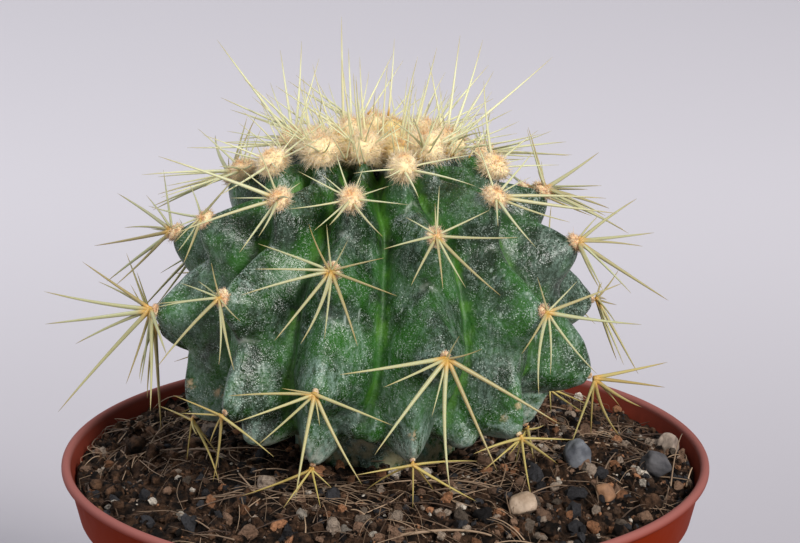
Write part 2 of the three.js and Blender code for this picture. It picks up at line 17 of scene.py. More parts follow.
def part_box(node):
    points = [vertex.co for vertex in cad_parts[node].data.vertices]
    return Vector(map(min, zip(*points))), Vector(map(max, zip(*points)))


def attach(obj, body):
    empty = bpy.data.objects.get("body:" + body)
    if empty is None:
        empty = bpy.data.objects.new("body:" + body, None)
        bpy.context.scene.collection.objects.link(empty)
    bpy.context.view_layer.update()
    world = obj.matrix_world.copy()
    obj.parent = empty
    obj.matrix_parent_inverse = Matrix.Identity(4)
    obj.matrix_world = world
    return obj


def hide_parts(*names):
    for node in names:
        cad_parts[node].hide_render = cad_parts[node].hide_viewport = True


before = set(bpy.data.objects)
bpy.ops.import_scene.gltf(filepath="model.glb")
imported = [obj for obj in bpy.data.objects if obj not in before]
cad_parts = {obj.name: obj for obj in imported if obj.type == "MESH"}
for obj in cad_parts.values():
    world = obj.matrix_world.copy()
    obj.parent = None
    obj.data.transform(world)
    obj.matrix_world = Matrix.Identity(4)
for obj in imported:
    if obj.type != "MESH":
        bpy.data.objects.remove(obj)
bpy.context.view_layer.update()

LOG = logging.getLogger("cactus")
MM = 0.001
BODY = "root"
GOLDEN_ANGLE = 137.5
Array = np.ndarray
Surface = tuple[Array, list[Array]]
Pair = tuple[float, float]
Triple = tuple[float, float, float]
Slide = tuple[float, float, float, float]
Colour = tuple[float, float, float, float]
Socket = bpy.types.NodeSocket
Material = bpy.types.Material
Piece = bpy.types.Object
Rng = np.random.Generator


class Variety(Enum):
    """What a crumb of the soil is made of: its place on the soil's scale of colours."""

    PEAT = 0.05
    BARK = 0.25
    SLATE = 0.45
    CLAY = 0.6
    GRIT = 0.8
    CHALK = 1.0


def smoothstep(x: Array, low: float, high: float) -> Array:
    """Returns 0 below low, 1 above high, and the cubic 3t^2 - 2t^3 between them."""
    t = np.clip((np.asarray(x, float) - low) / (high - low), 0.0, 1.0)
    return t * t * (3.0 - 2.0 * t)


def lerp(a: float | Array, b: float | Array, t: float | Array) -> Array:
    """Returns the value a fraction t of the way from a to b."""
    return a + (b - a) * np.asarray(t)


def slide(x: Array, low: float, high: float, start: float, end: float) -> Array:
    """Returns the start below low, the end above high, and an eased value between them."""
    return lerp(start, end, smoothstep(x, low, high))


def turn_between(a: Array, b: Array) -> Array:
    """Returns the turn from b to a, between -180 and 180 degrees."""
    return (a - b + 540.0) % 360.0 - 180.0


def full_turn(count: int) -> Array:
    """Spreads angles evenly over a full turn, in radians."""
    return np.linspace(0.0, 2.0 * np.pi, count, endpoint=False)


def unit(vectors: Array) -> Array:
    """Scales vectors to length 1."""
    return vectors / np.maximum(np.linalg.norm(vectors, axis=-1, keepdims=True), 1e-6)


def leaning(turn: float, lean: float) -> Array:
    """Gives the unit vector that leans from the upright towards a turn from +X, both in radians."""
    return np.array([math.cos(turn) * math.sin(lean), math.sin(turn) * math.sin(lean), math.cos(lean)])


def level_ring(radius: Array, height: Array, turn: Array, x: Array = 0.0, y: Array = 0.0) -> Array:
    """Gives points (x + r cos t, y + r sin t, height) of level rings."""
    places = (x + radius * np.cos(turn), y + radius * np.sin(turn), height)
    return np.stack(np.broadcast_arrays(*places), axis=-1)


def ring_quads(rings: int, columns: int) -> Array:
    """Quads between closed rings of points that are laid out ring by ring.

    Args:
        rings: Number of rings.
        columns: Number of points in each ring.

    Returns:
        An array of quads, four point numbers each.
    """
    r = np.arange(rings - 1)[:, None] * columns
    c = np.arange(columns)[None, :]
    following = (c + 1) % columns
    quads = np.stack([r + c, r + following, r + columns + following, r + columns + c], axis=-1)
    return quads.reshape(-1, 4)


def fan(ring: Array, centre: int, flip: bool) -> Array:
    """Triangles from a closed ring of points to one centre point.

    Args:
        ring: Point numbers round the ring.
        centre: Number of the centre point.
        flip: Whether the triangles wind the other way.

    Returns:
        An array of triangles, three point numbers each.
    """
    following = np.roll(ring, -1)
    sides = (following, ring) if flip else (ring, following)
    return np.stack([sides[0], sides[1], np.full(len(ring), centre)], axis=-1)


def closed_faces(rings: int, columns: int, inverted: bool) -> list[Array]:
    """Faces of rings of points, closed by two poles whose points come last, the first ring's pole first.

    Args:
        rings: Number of rings.
        columns: Number of points in each ring.
        inverted: Whether the faces wind the other way, as they must where the rings run downwards outside.

    Returns:
        Quads and two fans of triangles.
    """
    quads = ring_quads(rings, columns)
    first = np.arange(columns)
    pole = rings * columns
    return [
        quads[:, ::-1] if inverted else quads,
        fan(first, pole, not inverted),
        fan(first + pole - columns, pole + 1, inverted),
    ]


def ball(rows: int, columns: int) -> Surface:
    """A ball of radius 1 whose rings lie level, with faces that look outwards.

    A point at polar angle p and turn t is (sin p cos t, sin p sin t, cos p).

    Args:
        rows: Number of rings and the two poles together.
        columns: Number of points in each ring.

    Returns:
        Points and faces.
    """
    polar = np.linspace(0.0, np.pi, rows)[1:-1, None]
    rings = level_ring(np.sin(polar), np.cos(polar), full_turn(columns))
    points = np.concatenate([rings.reshape(-1, 3), [[0.0, 0.0, 1.0], [0.0, 0.0, -1.0]]])
    return points, closed_faces(rows - 2, columns, True)


def sweep(axes: Array, side: Array, other: Array, radii: Array, sides: int) -> Surface:
    """Sweeps a circle along many axes at once and closes its ends.

    A point at angle a is the axis point plus the radius times (cos a times side plus sin a times other).

    Args:
        axes: Points by axis and step.
        side: Unit vectors across the axes, by axis and step.
        other: Unit vectors across both.
        radii: Radii by axis and step, with a last dimension of one.
        sides: Number of points round the circle.

    Returns:
        Points by axis, step and angle, and faces.
    """
    count, steps = axes.shape[:2]
    turn = full_turn(sides)[None, None, :, None]
    circle = np.cos(turn) * side[:, :, None] + np.sin(turn) * other[:, :, None]
    points = axes[:, :, None] + radii[:, :, None] * circle
    starts = (np.arange(count) * steps * sides)[:, None, None]
    quads = (ring_quads(steps, sides)[None] + starts).reshape(-1, 4)
    ends = np.arange(sides)[None, :] + starts[:, 0]
    return points, [quads, ends[:, ::-1], ends + (steps - 1) * sides]


def make_mesh(
    name: str, points: Array, faces: list[Array], values: dict[str, Array] | None = None, smooth: bool = True
) -> Piece:
    """Makes an object in metres from points in millimetres.

    Args:
        name: Name of the object.
        points: Points, three numbers each, in millimetres.
        faces: Arrays of faces, each array with faces of one size.
        values: Named numbers, one for each point, that materials read.
        smooth: Whether the faces are shaded smooth.

    Returns:
        The new object, linked to the scene.
    """
    mesh = bpy.data.meshes.new(name)
    points = np.asarray(points, np.float32) * MM
    corners = np.concatenate([f.ravel() for f in faces]).astype(np.int32)
    sizes = np.concatenate([np.full(len(f), f.shape[1]) for f in faces])
    mesh.vertices.add(len(points))
    mesh.vertices.foreach_set("co", points.ravel())
    mesh.loops.add(len(corners))
    mesh.loops.foreach_set("vertex_index", corners)
    mesh.polygons.add(len(sizes))
    starts = np.concatenate([[0], np.cumsum(sizes)[:-1]]).astype(np.int32)
    mesh.polygons.foreach_set("loop_start", starts)
    mesh.polygons.foreach_set("use_smooth", np.full(len(sizes), smooth))
    for key, numbers in (values or {}).items():
        layer = mesh.attributes.new(key, "FLOAT", "POINT")
        layer.data.foreach_set("value", np.ascontiguousarray(numbers, np.float32).ravel())
    mesh.update(calc_edges=True)
    mesh.validate()
    piece = bpy.data.objects.new(name, mesh)
    bpy.context.scene.collection.objects.link(piece)
    return piece


def settle(piece: Piece, material: Material, slot: str, nodes: list[str]) -> None:
    """Dresses a piece, lets it ride on the object and stand for CAD nodes.

    Args:
        piece: The piece.
        material: Its material.
        slot: Name of the material slot, which is only logged.
        nodes: The CAD nodes that it replaces.
    """
    piece.data.materials.append(material)
    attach(piece, BODY)
    if nodes:
        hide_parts(*nodes)
    LOG.info("%s: %d faces, slot %s, stands for %s", piece.name, len(piece.data.polygons), slot, nodes)


@dataclass
class LatticeNoise:
    """Smooth noise from random numbers on a repeating lattice, between -1 and 1."""

    seed: int
    size: int = 32
    lattice: Array = field(init=False)

    def __post_init__(self) -> None:
        """Draws the numbers at the lattice points."""
        self.lattice = np.random.default_rng(self.seed).uniform(-1.0, 1.0, (self.size,) * 3)

    def at(self, points: Array) -> Array:
        """Blends the eight lattice numbers round each point, eased along each axis by 3t^2 - 2t^3.

        Args:
            points: Points, three numbers each.

        Returns:
            One number for each point.
        """
        cell = np.floor(points).astype(int)
        t = points - cell
        t = t * t * (3.0 - 2.0 * t)
        total = np.zeros(points.shape[:-1])
        for corner in np.ndindex(2, 2, 2):
            weight = np.prod(np.where(np.array(corner), t, 1.0 - t), axis=-1)
            i, j, k = np.moveaxis((cell + corner) % self.size, -1, 0)
            total += weight * self.lattice[i, j, k]
        return total

    def fractal(self, points: Array, octaves: int) -> Array:
        """Sums octaves of the noise, each twice as fine and half as strong as the one before."""
        return sum(self.at(points * 2.0**k + 7.3 * k) / 2.0**k for k in range(octaves))


class Graph:
    """A material's node graph, built in a few words."""

    def __init__(self, name: str) -> None:
        """Starts a material that holds one Principled shader."""
        self.material = bpy.data.materials.new(name)
        self.material.use_nodes = True
        self.tree = self.material.node_tree
        self.shader = self.tree.nodes["Principled BSDF"]

    def add(self, kind: str, options: dict[str, object] | None = None, **inputs: object) -> bpy.types.Node:
        """Adds a node.

        Args:
            kind: The node's type without its ShaderNode prefix.
            options: Settings of the node itself.
            **inputs: Values or sockets for its inputs, by name with underscores for spaces. A name that
                ends in a digit after two underscores means the input at that place.

        Returns:
            The new node.
        """
        node = self.tree.nodes.new("ShaderNode" + kind)
        for key, value in (options or {}).items():
            setattr(node, key, value)
        for key, value in inputs.items():
            place = int(key.rpartition("__")[2]) if "__" in key else key.replace("_", " ")
            self.feed(node.inputs[place], value)
        return node

    def feed(self, socket: Socket, value: object) -> None:
        """Links a socket or sets its value.

        Args:
            socket: The input to feed.
            value: Another node's output, or the value itself.
        """
        if isinstance(value, Socket):
            self.tree.links.new(value, socket)
        else:
            socket.default_value = value

    def set(self, **inputs: object) -> None:
        """Feeds inputs of the Principled shader, by name with underscores for spaces."""
        for key, value in inputs.items():
            self.feed(self.shader.inputs[key.replace("_", " ")], value)

    def value(self, name: str) -> Socket:
        """Reads a named number of the mesh."""
        return self.add("Attribute", {"attribute_name": name}).outputs["Fac"]

    def place(self, scale: Triple = (1.0, 1.0, 1.0)) -> Socket:
        """Gives the point on the object in metres, scaled along each axis."""
        point = self.add("TexCoord").outputs["Object"]
        return self.add("Mapping", Vector=point, Scale=scale).outputs["Vector"]

    def noise(self, scale: float, detail: float = 3.0, where: object = None, **inputs: object) -> Socket:
        """Adds noise with so many cells to the metre, and returns its number."""
        vector = where or self.place()
        return self.add("TexNoise", Vector=vector, Scale=scale, Detail=detail, **inputs).outputs["Fac"]

    def times(self, *values: object) -> Socket:
        """Multiplies numbers.

        Args:
            *values: Sockets and values, the first a socket.

        Returns:
            Their product.
        """
        product = values[0]
        for value in values[1:]:
            product = self.add("Math", {"operation": "MULTIPLY"}, __0=product, __1=value).outputs[0]
        return product

    def line(self, value: object, start: float, end: float) -> Socket:
        """Maps 0 to the start and 1 to the end."""
        return self.add("MapRange", Value=value, To_Min=start, To_Max=end).outputs["Result"]

    def larger(self, a: object, b: object) -> Socket:
        """Takes the larger of two numbers."""
        return self.add("Math", {"operation": "MAXIMUM"}, __0=a, __1=b).outputs[0]

    def ramp(self, value: object, low: float, high: float) -> Socket:
        """Maps a number so that low gives 0 and high gives 1, clamped and eased."""
        eased = {"interpolation_type": "SMOOTHSTEP"}
        return self.add("MapRange", eased, Value=value, From_Min=low, From_Max=high).outputs["Result"]

    def mix(self, factor: object, a: object, b: object) -> Socket:
        """Mixes two colours."""
        return self.add("Mix", {"data_type": "RGBA"}, __0=factor, __6=a, __7=b).outputs[2]

    def bump(self, height: object, depth: float, strength: float = 1.0, normal: object = None) -> Socket:
        """Adds a bump whose full height is a depth in metres, and returns the new normal."""
        inputs = {"Normal": normal} if normal else {}
        return self.add("Bump", Height=height, Distance=depth, Strength=strength, **inputs).outputs["Normal"]


def rgb(r: float, g: float, b: float) -> Colour:
    """Gives a linear colour as Blender holds it."""
    return (r, g, b, 1.0)


@dataclass(frozen=True)
class SkinFinish:
    """Waxy green skin: deep on the tubercles, grass green in the furrows, streaked with pale minerals."""

    deep: Colour = rgb(0.004, 0.018, 0.002)
    fresh: Colour = rgb(0.018, 0.098, 0.006)
    furrow: Colour = rgb(0.060, 0.190, 0.008)
    bloom: Colour = rgb(0.190, 0.290, 0.230)
    speck: Colour = rgb(0.560, 0.660, 0.580)
    crust: Colour = rgb(0.480, 0.520, 0.440)
    cork: Colour = rgb(0.520, 0.380, 0.210)
    foot: Colour = rgb(0.330, 0.300, 0.175)
    shine: float = 0.24
    dull: float = 0.55

    def material(self) -> Material:
        """Builds the skin's node graph.

        Returns:
            The material.
        """
        g = Graph("skin")
        colour = g.mix(g.ramp(g.noise(160.0, 6.0, None, Roughness=0.6), 0.38, 0.62), self.deep, self.fresh)
        valley = g.ramp(g.value("furrow"), 0.02, 0.55)
        colour = g.mix(g.times(valley, g.ramp(g.noise(420.0, 5.0), 0.40, 0.66), 0.75), colour, self.furrow)
        dusty = g.times(g.value("bloom"), g.line(valley, 1.0, 0.25))
        drawn = g.place((1.0, 1.0, 0.6))
        patches = g.noise(260.0, 12.0, drawn, Roughness=0.74, Distortion=0.6)
        veins = g.ramp(g.noise(1900.0, 8.0, drawn, Roughness=0.82), 0.45, 0.57)
        bloom = g.times(g.ramp(patches, 0.47, 0.54), g.line(veins, 0.2, 1.0), dusty)
        grain = g.times(g.ramp(g.noise(3200.0, 5.0, None, Roughness=0.8), 0.50, 0.60), dusty, 0.45)
        bloom = g.larger(bloom, grain)
        colour = g.mix(g.times(bloom, 0.9), colour, self.bloom)
        crust = g.times(g.value("crease"), g.ramp(g.noise(1100.0, 4.0), 0.36, 0.62), 0.7)
        colour = g.mix(crust, colour, self.crust)
        marks = g.times(g.larger(self.dots(g), self.trails(g)), g.line(valley, 1.0, 0.2))
        foot = g.times(g.value("foot"), g.ramp(g.noise(700.0, 6.0), 0.40, 0.62))
        cork = g.times(g.value("cork"), g.ramp(g.noise(1500.0, 5.0), 0.36, 0.54))
        for share, shade in ((marks, self.speck), (foot, self.foot), (cork, self.cork)):
            colour = g.mix(share, colour, shade)
        rough = g.line(g.larger(g.larger(bloom, crust), valley), self.shine, self.dull)
        fine = g.bump(g.noise(2600.0, 5.0), 0.00014, 0.9)
        normal = g.bump(g.noise(420.0, 3.0, g.place((1.0, 1.0, 0.4))), 0.0006, 0.6, fine)
        g.set(Base_Color=colour, Roughness=rough, Normal=normal)
        return g.material

    def dots(self, g: Graph) -> Socket:
        """Sprinkles specks of three sizes, thicker where the bloom is.

        Args:
            g: The skin's graph.

        Returns:
            The specks' strength.
        """
        total = None
        for scale, size, strength in ((4400.0, 0.42, 0.6), (2300.0, 0.22, 0.9), (800.0, 0.09, 1.0)):
            cell = g.add("TexVoronoi", Vector=g.place(), Scale=scale)
            there = g.ramp(g.noise(260.0 + scale / 9.0, 4.0), 0.44, 0.58)
            dots = g.times(g.ramp(cell.outputs["Distance"], size, size * 0.55), there, strength)
            total = g.larger(total, dots) if total else dots
        return g.times(total, g.line(g.value("bloom"), 0.35, 1.0))

    def trails(self, g: Graph) -> Socket:
        """Draws what drops of water left: long marks that run down the skin."""
        drops = g.add("TexVoronoi", Vector=g.place((1.0, 1.0, 0.15)), Scale=900.0).outputs["Distance"]
        return g.times(g.ramp(drops, 0.22, 0.08), g.ramp(g.noise(230.0, 3.0), 0.50, 0.62), 0.4)


@dataclass(frozen=True)
class SpineFinish:
    """Straw-coloured spine: golden at the root, paler along its length and brown at the point."""

    root: Colour = rgb(0.560, 0.320, 0.070)
    shaft: Colour = rgb(0.430, 0.440, 0.245)
    tip: Colour = rgb(0.300, 0.190, 0.050)
    lime: Colour = rgb(0.680, 0.670, 0.410)
    golden: Colour = rgb(0.560, 0.400, 0.075)

    def material(self) -> Material:
        """Builds the spine's node graph, which reads the place along the spine, its youth and its height.

        Returns:
            The material.
        """
        g = Graph("spine")
        along = g.value("along")
        shaft = g.mix(g.times(g.value("low"), 0.7), self.shaft, self.golden)
        shaft = g.mix(g.value("youth"), shaft, self.lime)
        shaft = g.mix(g.times(g.value("tone"), 0.65), shaft, self.tip)
        colour = g.mix(g.ramp(along, 0.02, 0.15), self.root, shaft)
        colour = g.mix(g.times(g.ramp(along, 0.7, 1.0), 0.6), colour, self.tip)
        rings = g.bump(g.noise(2500.0, 1.0), 0.00004, 0.4)
        g.set(Base_Color=colour, Roughness=0.42, Normal=rings, Subsurface_Weight=0.2, Subsurface_Scale=0.0005)
        g.set(Subsurface_Radius=(1.0, 0.7, 0.3))
        return g.material


@dataclass(frozen=True)
class WoolFinish:
    """Felt of fine hairs, cream with peach in the older pads."""

    cream: Colour = rgb(0.960, 0.740, 0.430)
    peach: Colour = rgb(0.760, 0.440, 0.240)
    core: Colour = rgb(0.360, 0.160, 0.060)
    gold: Colour = rgb(0.900, 0.660, 0.170)
    heart: Colour = rgb(0.780, 0.360, 0.090)

    def material(self) -> Material:
        """Builds the wool's node graph, which reads each pad's age and the way from its middle.

        Returns:
            The material.
        """
        g = Graph("wool")
        felt = g.ramp(g.noise(1500.0, 3.0), 0.40, 0.62)
        colour = g.mix(g.times(g.value("age"), felt), self.cream, self.peach)
        patches = g.times(g.value("age"), g.ramp(g.noise(1900.0, 2.0), 0.54, 0.68), 0.8)
        colour = g.mix(patches, colour, self.core)
        colour = g.mix(g.value("gold"), colour, self.gold)
        colour = g.mix(g.times(g.value("heart"), 0.65), colour, self.heart)
        g.set(Base_Color=colour, Roughness=0.9, Sheen_Weight=0.3)
        g.set(Normal=g.bump(g.noise(2800.0, 4.0), 0.0001, 0.6))
        g.set(Subsurface_Weight=0.35, Subsurface_Scale=0.0006, Subsurface_Radius=(1.0, 0.7, 0.4))
        return g.material


@dataclass(frozen=True)
class PotFinish:
    """Thin red-brown plastic with fine scuffs, wear and painted sheen on the lip's top, and soil stains and
    painted shade inside.
    """

    plastic: Colour = rgb(0.185, 0.016, 0.001)
    wear_and_sheen: Colour = rgb(0.350, 0.150, 0.135)
    grime_and_shade: Colour = rgb(0.028, 0.014, 0.009)

    def material(self) -> Material:
        """Builds the plastic's node graph.

        Returns:
            The material.
        """
        g = Graph("pot_plastic")
        cloud = g.ramp(g.noise(60.0, 4.0), 0.35, 0.75)
        colour = g.mix(g.times(cloud, 0.02), self.plastic, self.wear_and_sheen)
        # Painted sheen: the lip's top is paled towards a pinkish grey, partly wear and dust, partly the light
        # it catches.
        colour = g.mix(g.times(g.value("lip"), 0.65), colour, self.wear_and_sheen)
        # Painted shade with soil stains: the inner wall and floor darken in patches towards a near-black
        # brown.
        grimed_and_shaded = g.times(g.ramp(g.noise(500.0, 6.0), 0.25, 0.60), g.value("inside"))
        colour = g.mix(grimed_and_shaded, colour, self.grime_and_shade)
        rough = g.line(g.noise(400.0, 3.0), 0.40, 0.56)
        g.set(Base_Color=colour, Roughness=rough, Normal=g.bump(g.noise(1200.0, 2.0), 0.00003, 0.4))
        g.set(Specular_IOR_Level=0.04, IOR=1.3)
        return g.material


@dataclass(frozen=True)
class SoilFinish:
    """Damp peat, with crumbs that run from it through bark, slate, clay and grit to chalk."""

    black: Colour = rgb(0.005, 0.003, 0.002)
    peat: Colour = rgb(0.210, 0.110, 0.062)
    bark: Colour = rgb(0.310, 0.185, 0.120)
    slate: Colour = rgb(0.056, 0.055, 0.060)
    clay: Colour = rgb(0.560, 0.260, 0.130)
    grit: Colour = rgb(0.480, 0.370, 0.285)
    chalk: Colour = rgb(0.900, 0.790, 0.660)

    def material(self) -> Material:
        """Builds the soil's node graph, which reads each crumb's place on the colour scale and its shade.

        Returns:
            The material.
        """
        g = Graph("soil")
        tone = g.value("tone")
        colour = g.mix(g.ramp(g.noise(600.0, 6.0), 0.38, 0.66), self.black, self.peat)
        steps = (self.bark, self.slate, self.clay, self.grit, self.chalk)
        for variety, stone in zip(list(Variety)[1:], steps):
            colour = g.mix(g.ramp(tone, variety.value - 0.08, variety.value - 0.04), colour, stone)
        mottle = g.ramp(g.noise(2200.0, 8.0, None, Roughness=0.75), 0.42, 0.68)
        colour = g.mix(g.times(mottle, 0.65), colour, self.black)
        # The shade value darkens towards black: on the bed it is painted shade for the gaps between crumbs,
        # on the crumbs a random tone.
        colour = g.mix(g.value("shade"), colour, self.black)
        rough = g.bump(g.noise(2000.0, 8.0, None, Roughness=0.8), 0.0006, 1.0)
        g.set(Base_Color=colour, Roughness=0.8, Normal=rough)
        g.set(Specular_IOR_Level=0.15)
        return g.material


@dataclass(frozen=True)
class StoneFinish:
    """Matte stone in two tones with darker flecks."""

    name: str
    light: Colour
    dark: Colour

    def material(self) -> Material:
        """Builds the stone's node graph.

        Returns:
            The material.
        """
        g = Graph(self.name)
        colour = g.mix(g.ramp(g.noise(500.0, 5.0), 0.3, 0.7), self.dark, self.light)
        flecks = g.ramp(g.noise(2500.0, 2.0), 0.62, 0.7)
        colour = g.mix(g.times(flecks, 0.5), colour, self.dark)
        g.set(Base_Color=colour, Roughness=0.75, Normal=g.bump(g.noise(1500.0, 4.0), 0.0002, 0.6))
        return g.material


@dataclass(frozen=True)
class FibreFinish:
    """Dry rootlets and straw, from dark brown to pale straw."""

    dark: Colour = rgb(0.050, 0.024, 0.012)
    straw: Colour = rgb(0.440, 0.300, 0.190)

    def material(self) -> Material:
        """Builds the fibre's node graph, which reads each fibre's tone.

        Returns:
            The material.
        """
        g = Graph("fibre")
        colour = g.mix(g.value("tone"), self.dark, self.straw)
        g.set(Base_Color=colour, Roughness=0.65, Normal=g.bump(g.noise(1800.0, 3.0), 0.0001, 0.5))
        return g.material


@dataclass
class Pot:
    """The nursery pot: a thin moulded shell with a collar, a rolled lip and drain holes."""

    height: float = 68.0
    foot_radius: float = 28.5
    neck_radius: float = 38.4
    collar_radius: float = 40.3
    lip_radius: float = 42.5
    wall: float = 0.8
    floor: float = 1.4
    collar_height: float = 7.2
    lip_height: float = 1.1
    lip_width: float = 1.2
    drain_count: int = 6
    drain_radius: float = 2.6
    drain_circle: float = 20.0
    drain_sides: int = 24
    foot_round: float = 0.8
    collar_round: float = 0.7
    edge_round: float = 0.3
    sides: int = 288

    def wall_radius(self, height: float) -> float:
        """Outside radius of the main wall at a height above the foot."""
        return float(lerp(self.foot_radius, self.neck_radius, height / (self.height - self.collar_height)))

    @staticmethod
    def arc(centre: Pair, radius: float, start: float, end: float, steps: int) -> list[Pair]:
        """Points of an arc in the plane of radius and height.

        Args:
            centre: Radius and height of the arc's centre.
            radius: The arc's own radius.
            start: Angle where it starts.
            end: Angle where it ends.
            steps: Number of points less one.

        Returns:
            The points.
        """
        turns = np.radians(np.linspace(start, end, steps + 1))
        return [(centre[0] + radius * math.cos(a), centre[1] + radius * math.sin(a)) for a in turns]

    def profile(self) -> list[Pair]:
        """The section from the foot's edge, up the outside, over the lip and down to the floor's edge.

        Returns:
            Radius and height of each ring.
        """
        step = self.height - self.collar_height
        lip = self.height - self.lip_height
        bead = self.lip_width / 2
        foot, collar, edge = self.foot_round, self.collar_round, self.edge_round
        return [
            *self.arc((self.foot_radius - foot, foot), foot, -90, -5, 5),
            (self.wall_radius(step / 2), step / 2),
            (self.wall_radius(step - 1.4), step - 1.4),
            (self.wall_radius(step - 1.2) + 0.1, step - 1.0),
            *self.arc((self.collar_radius - collar, step + 0.5), collar, -80, -8, 6),
            (float(lerp(self.collar_radius, self.lip_radius - 0.9, 0.5)), (step + lip) / 2),
            (self.lip_radius - 0.95, lip - 0.35),
            (self.lip_radius - 0.85, lip - 0.1),
            *self.arc((self.lip_radius - edge, lip + edge), edge, -90, 0, 3),
            *self.arc((self.lip_radius - bead, self.height - bead), bead, 0, 180, 10),
            (self.lip_radius - self.lip_width, self.height - bead - 0.3),
            (self.collar_radius - self.wall, step + 0.6),
            (self.wall_radius(step - 1.2) - self.wall, step - 1.0),
            (self.wall_radius(step / 2) - self.wall, step / 2),
            (self.wall_radius(self.floor) - self.wall, self.floor),
        ]

    def build(self) -> None:
        """Turns the section round the axis, marks the lip and the inside, and drills the floor."""
        rings = np.array(self.profile())
        count = len(rings)
        shell = level_ring(rings[:, :1], rings[:, 1:], full_turn(self.sides)).reshape(-1, 3)
        points = np.concatenate([shell, [[0.0, 0.0, 0.0], [0.0, 0.0, self.floor]]])
        # The lip mask marks the lip's top for its wear and painted sheen.
        lip = smoothstep(points[:, 2], self.height - self.lip_height - 0.2, self.height - 0.2)
        # The inside mask marks the inner wall and floor for their soil stains and painted shade.
        past_lip = np.arange(count) > np.flatnonzero(rings[:, 1] >= self.height - self.lip_width).max()
        inside = np.append(np.repeat(past_lip, self.sides), [False, True]).astype(float)
        faces = closed_faces(count, self.sides, False)
        pot = make_mesh("pot_shell", points, faces, {"lip": lip, "inside": inside})
        self.drill(pot)
        settle(pot, PotFinish().material(), "pot_plastic", ["pot"])

    def drill(self, pot: Piece) -> None:
        """Cuts the drain holes through the floor with one Boolean, and keeps only its result.

        Args:
            pot: The pot, which takes the result as its mesh.
        """
        turn = (np.arange(self.drain_count) + 0.5) / self.drain_count * 2.0 * np.pi
        axes = level_ring(self.drain_circle, np.array([-self.floor, 2.0 * self.floor]), turn[:, None])
        radii = np.full((*axes.shape[:2], 1), self.drain_radius)
        right, ahead = np.eye(3)[:2, None, None]
        points, faces = sweep(axes, right, ahead, radii, self.drain_sides)
        drills = make_mesh("drills", points.reshape(-1, 3), faces)
        cut = pot.modifiers.new("drains", "BOOLEAN")
        cut.operation = "DIFFERENCE"
        cut.solver = "EXACT"
        cut.object = drills
        depsgraph = bpy.context.evaluated_depsgraph_get()
        pot.data = bpy.data.meshes.new_from_object(pot.evaluated_get(depsgraph))
        pot.modifiers.clear()
        bpy.data.objects.remove(drills)


@dataclass(frozen=True)
class Areole:
    """One areole's place on the plant."""

    rib: int
    rank: int
    elevation: float
    turn: float
    reach: float


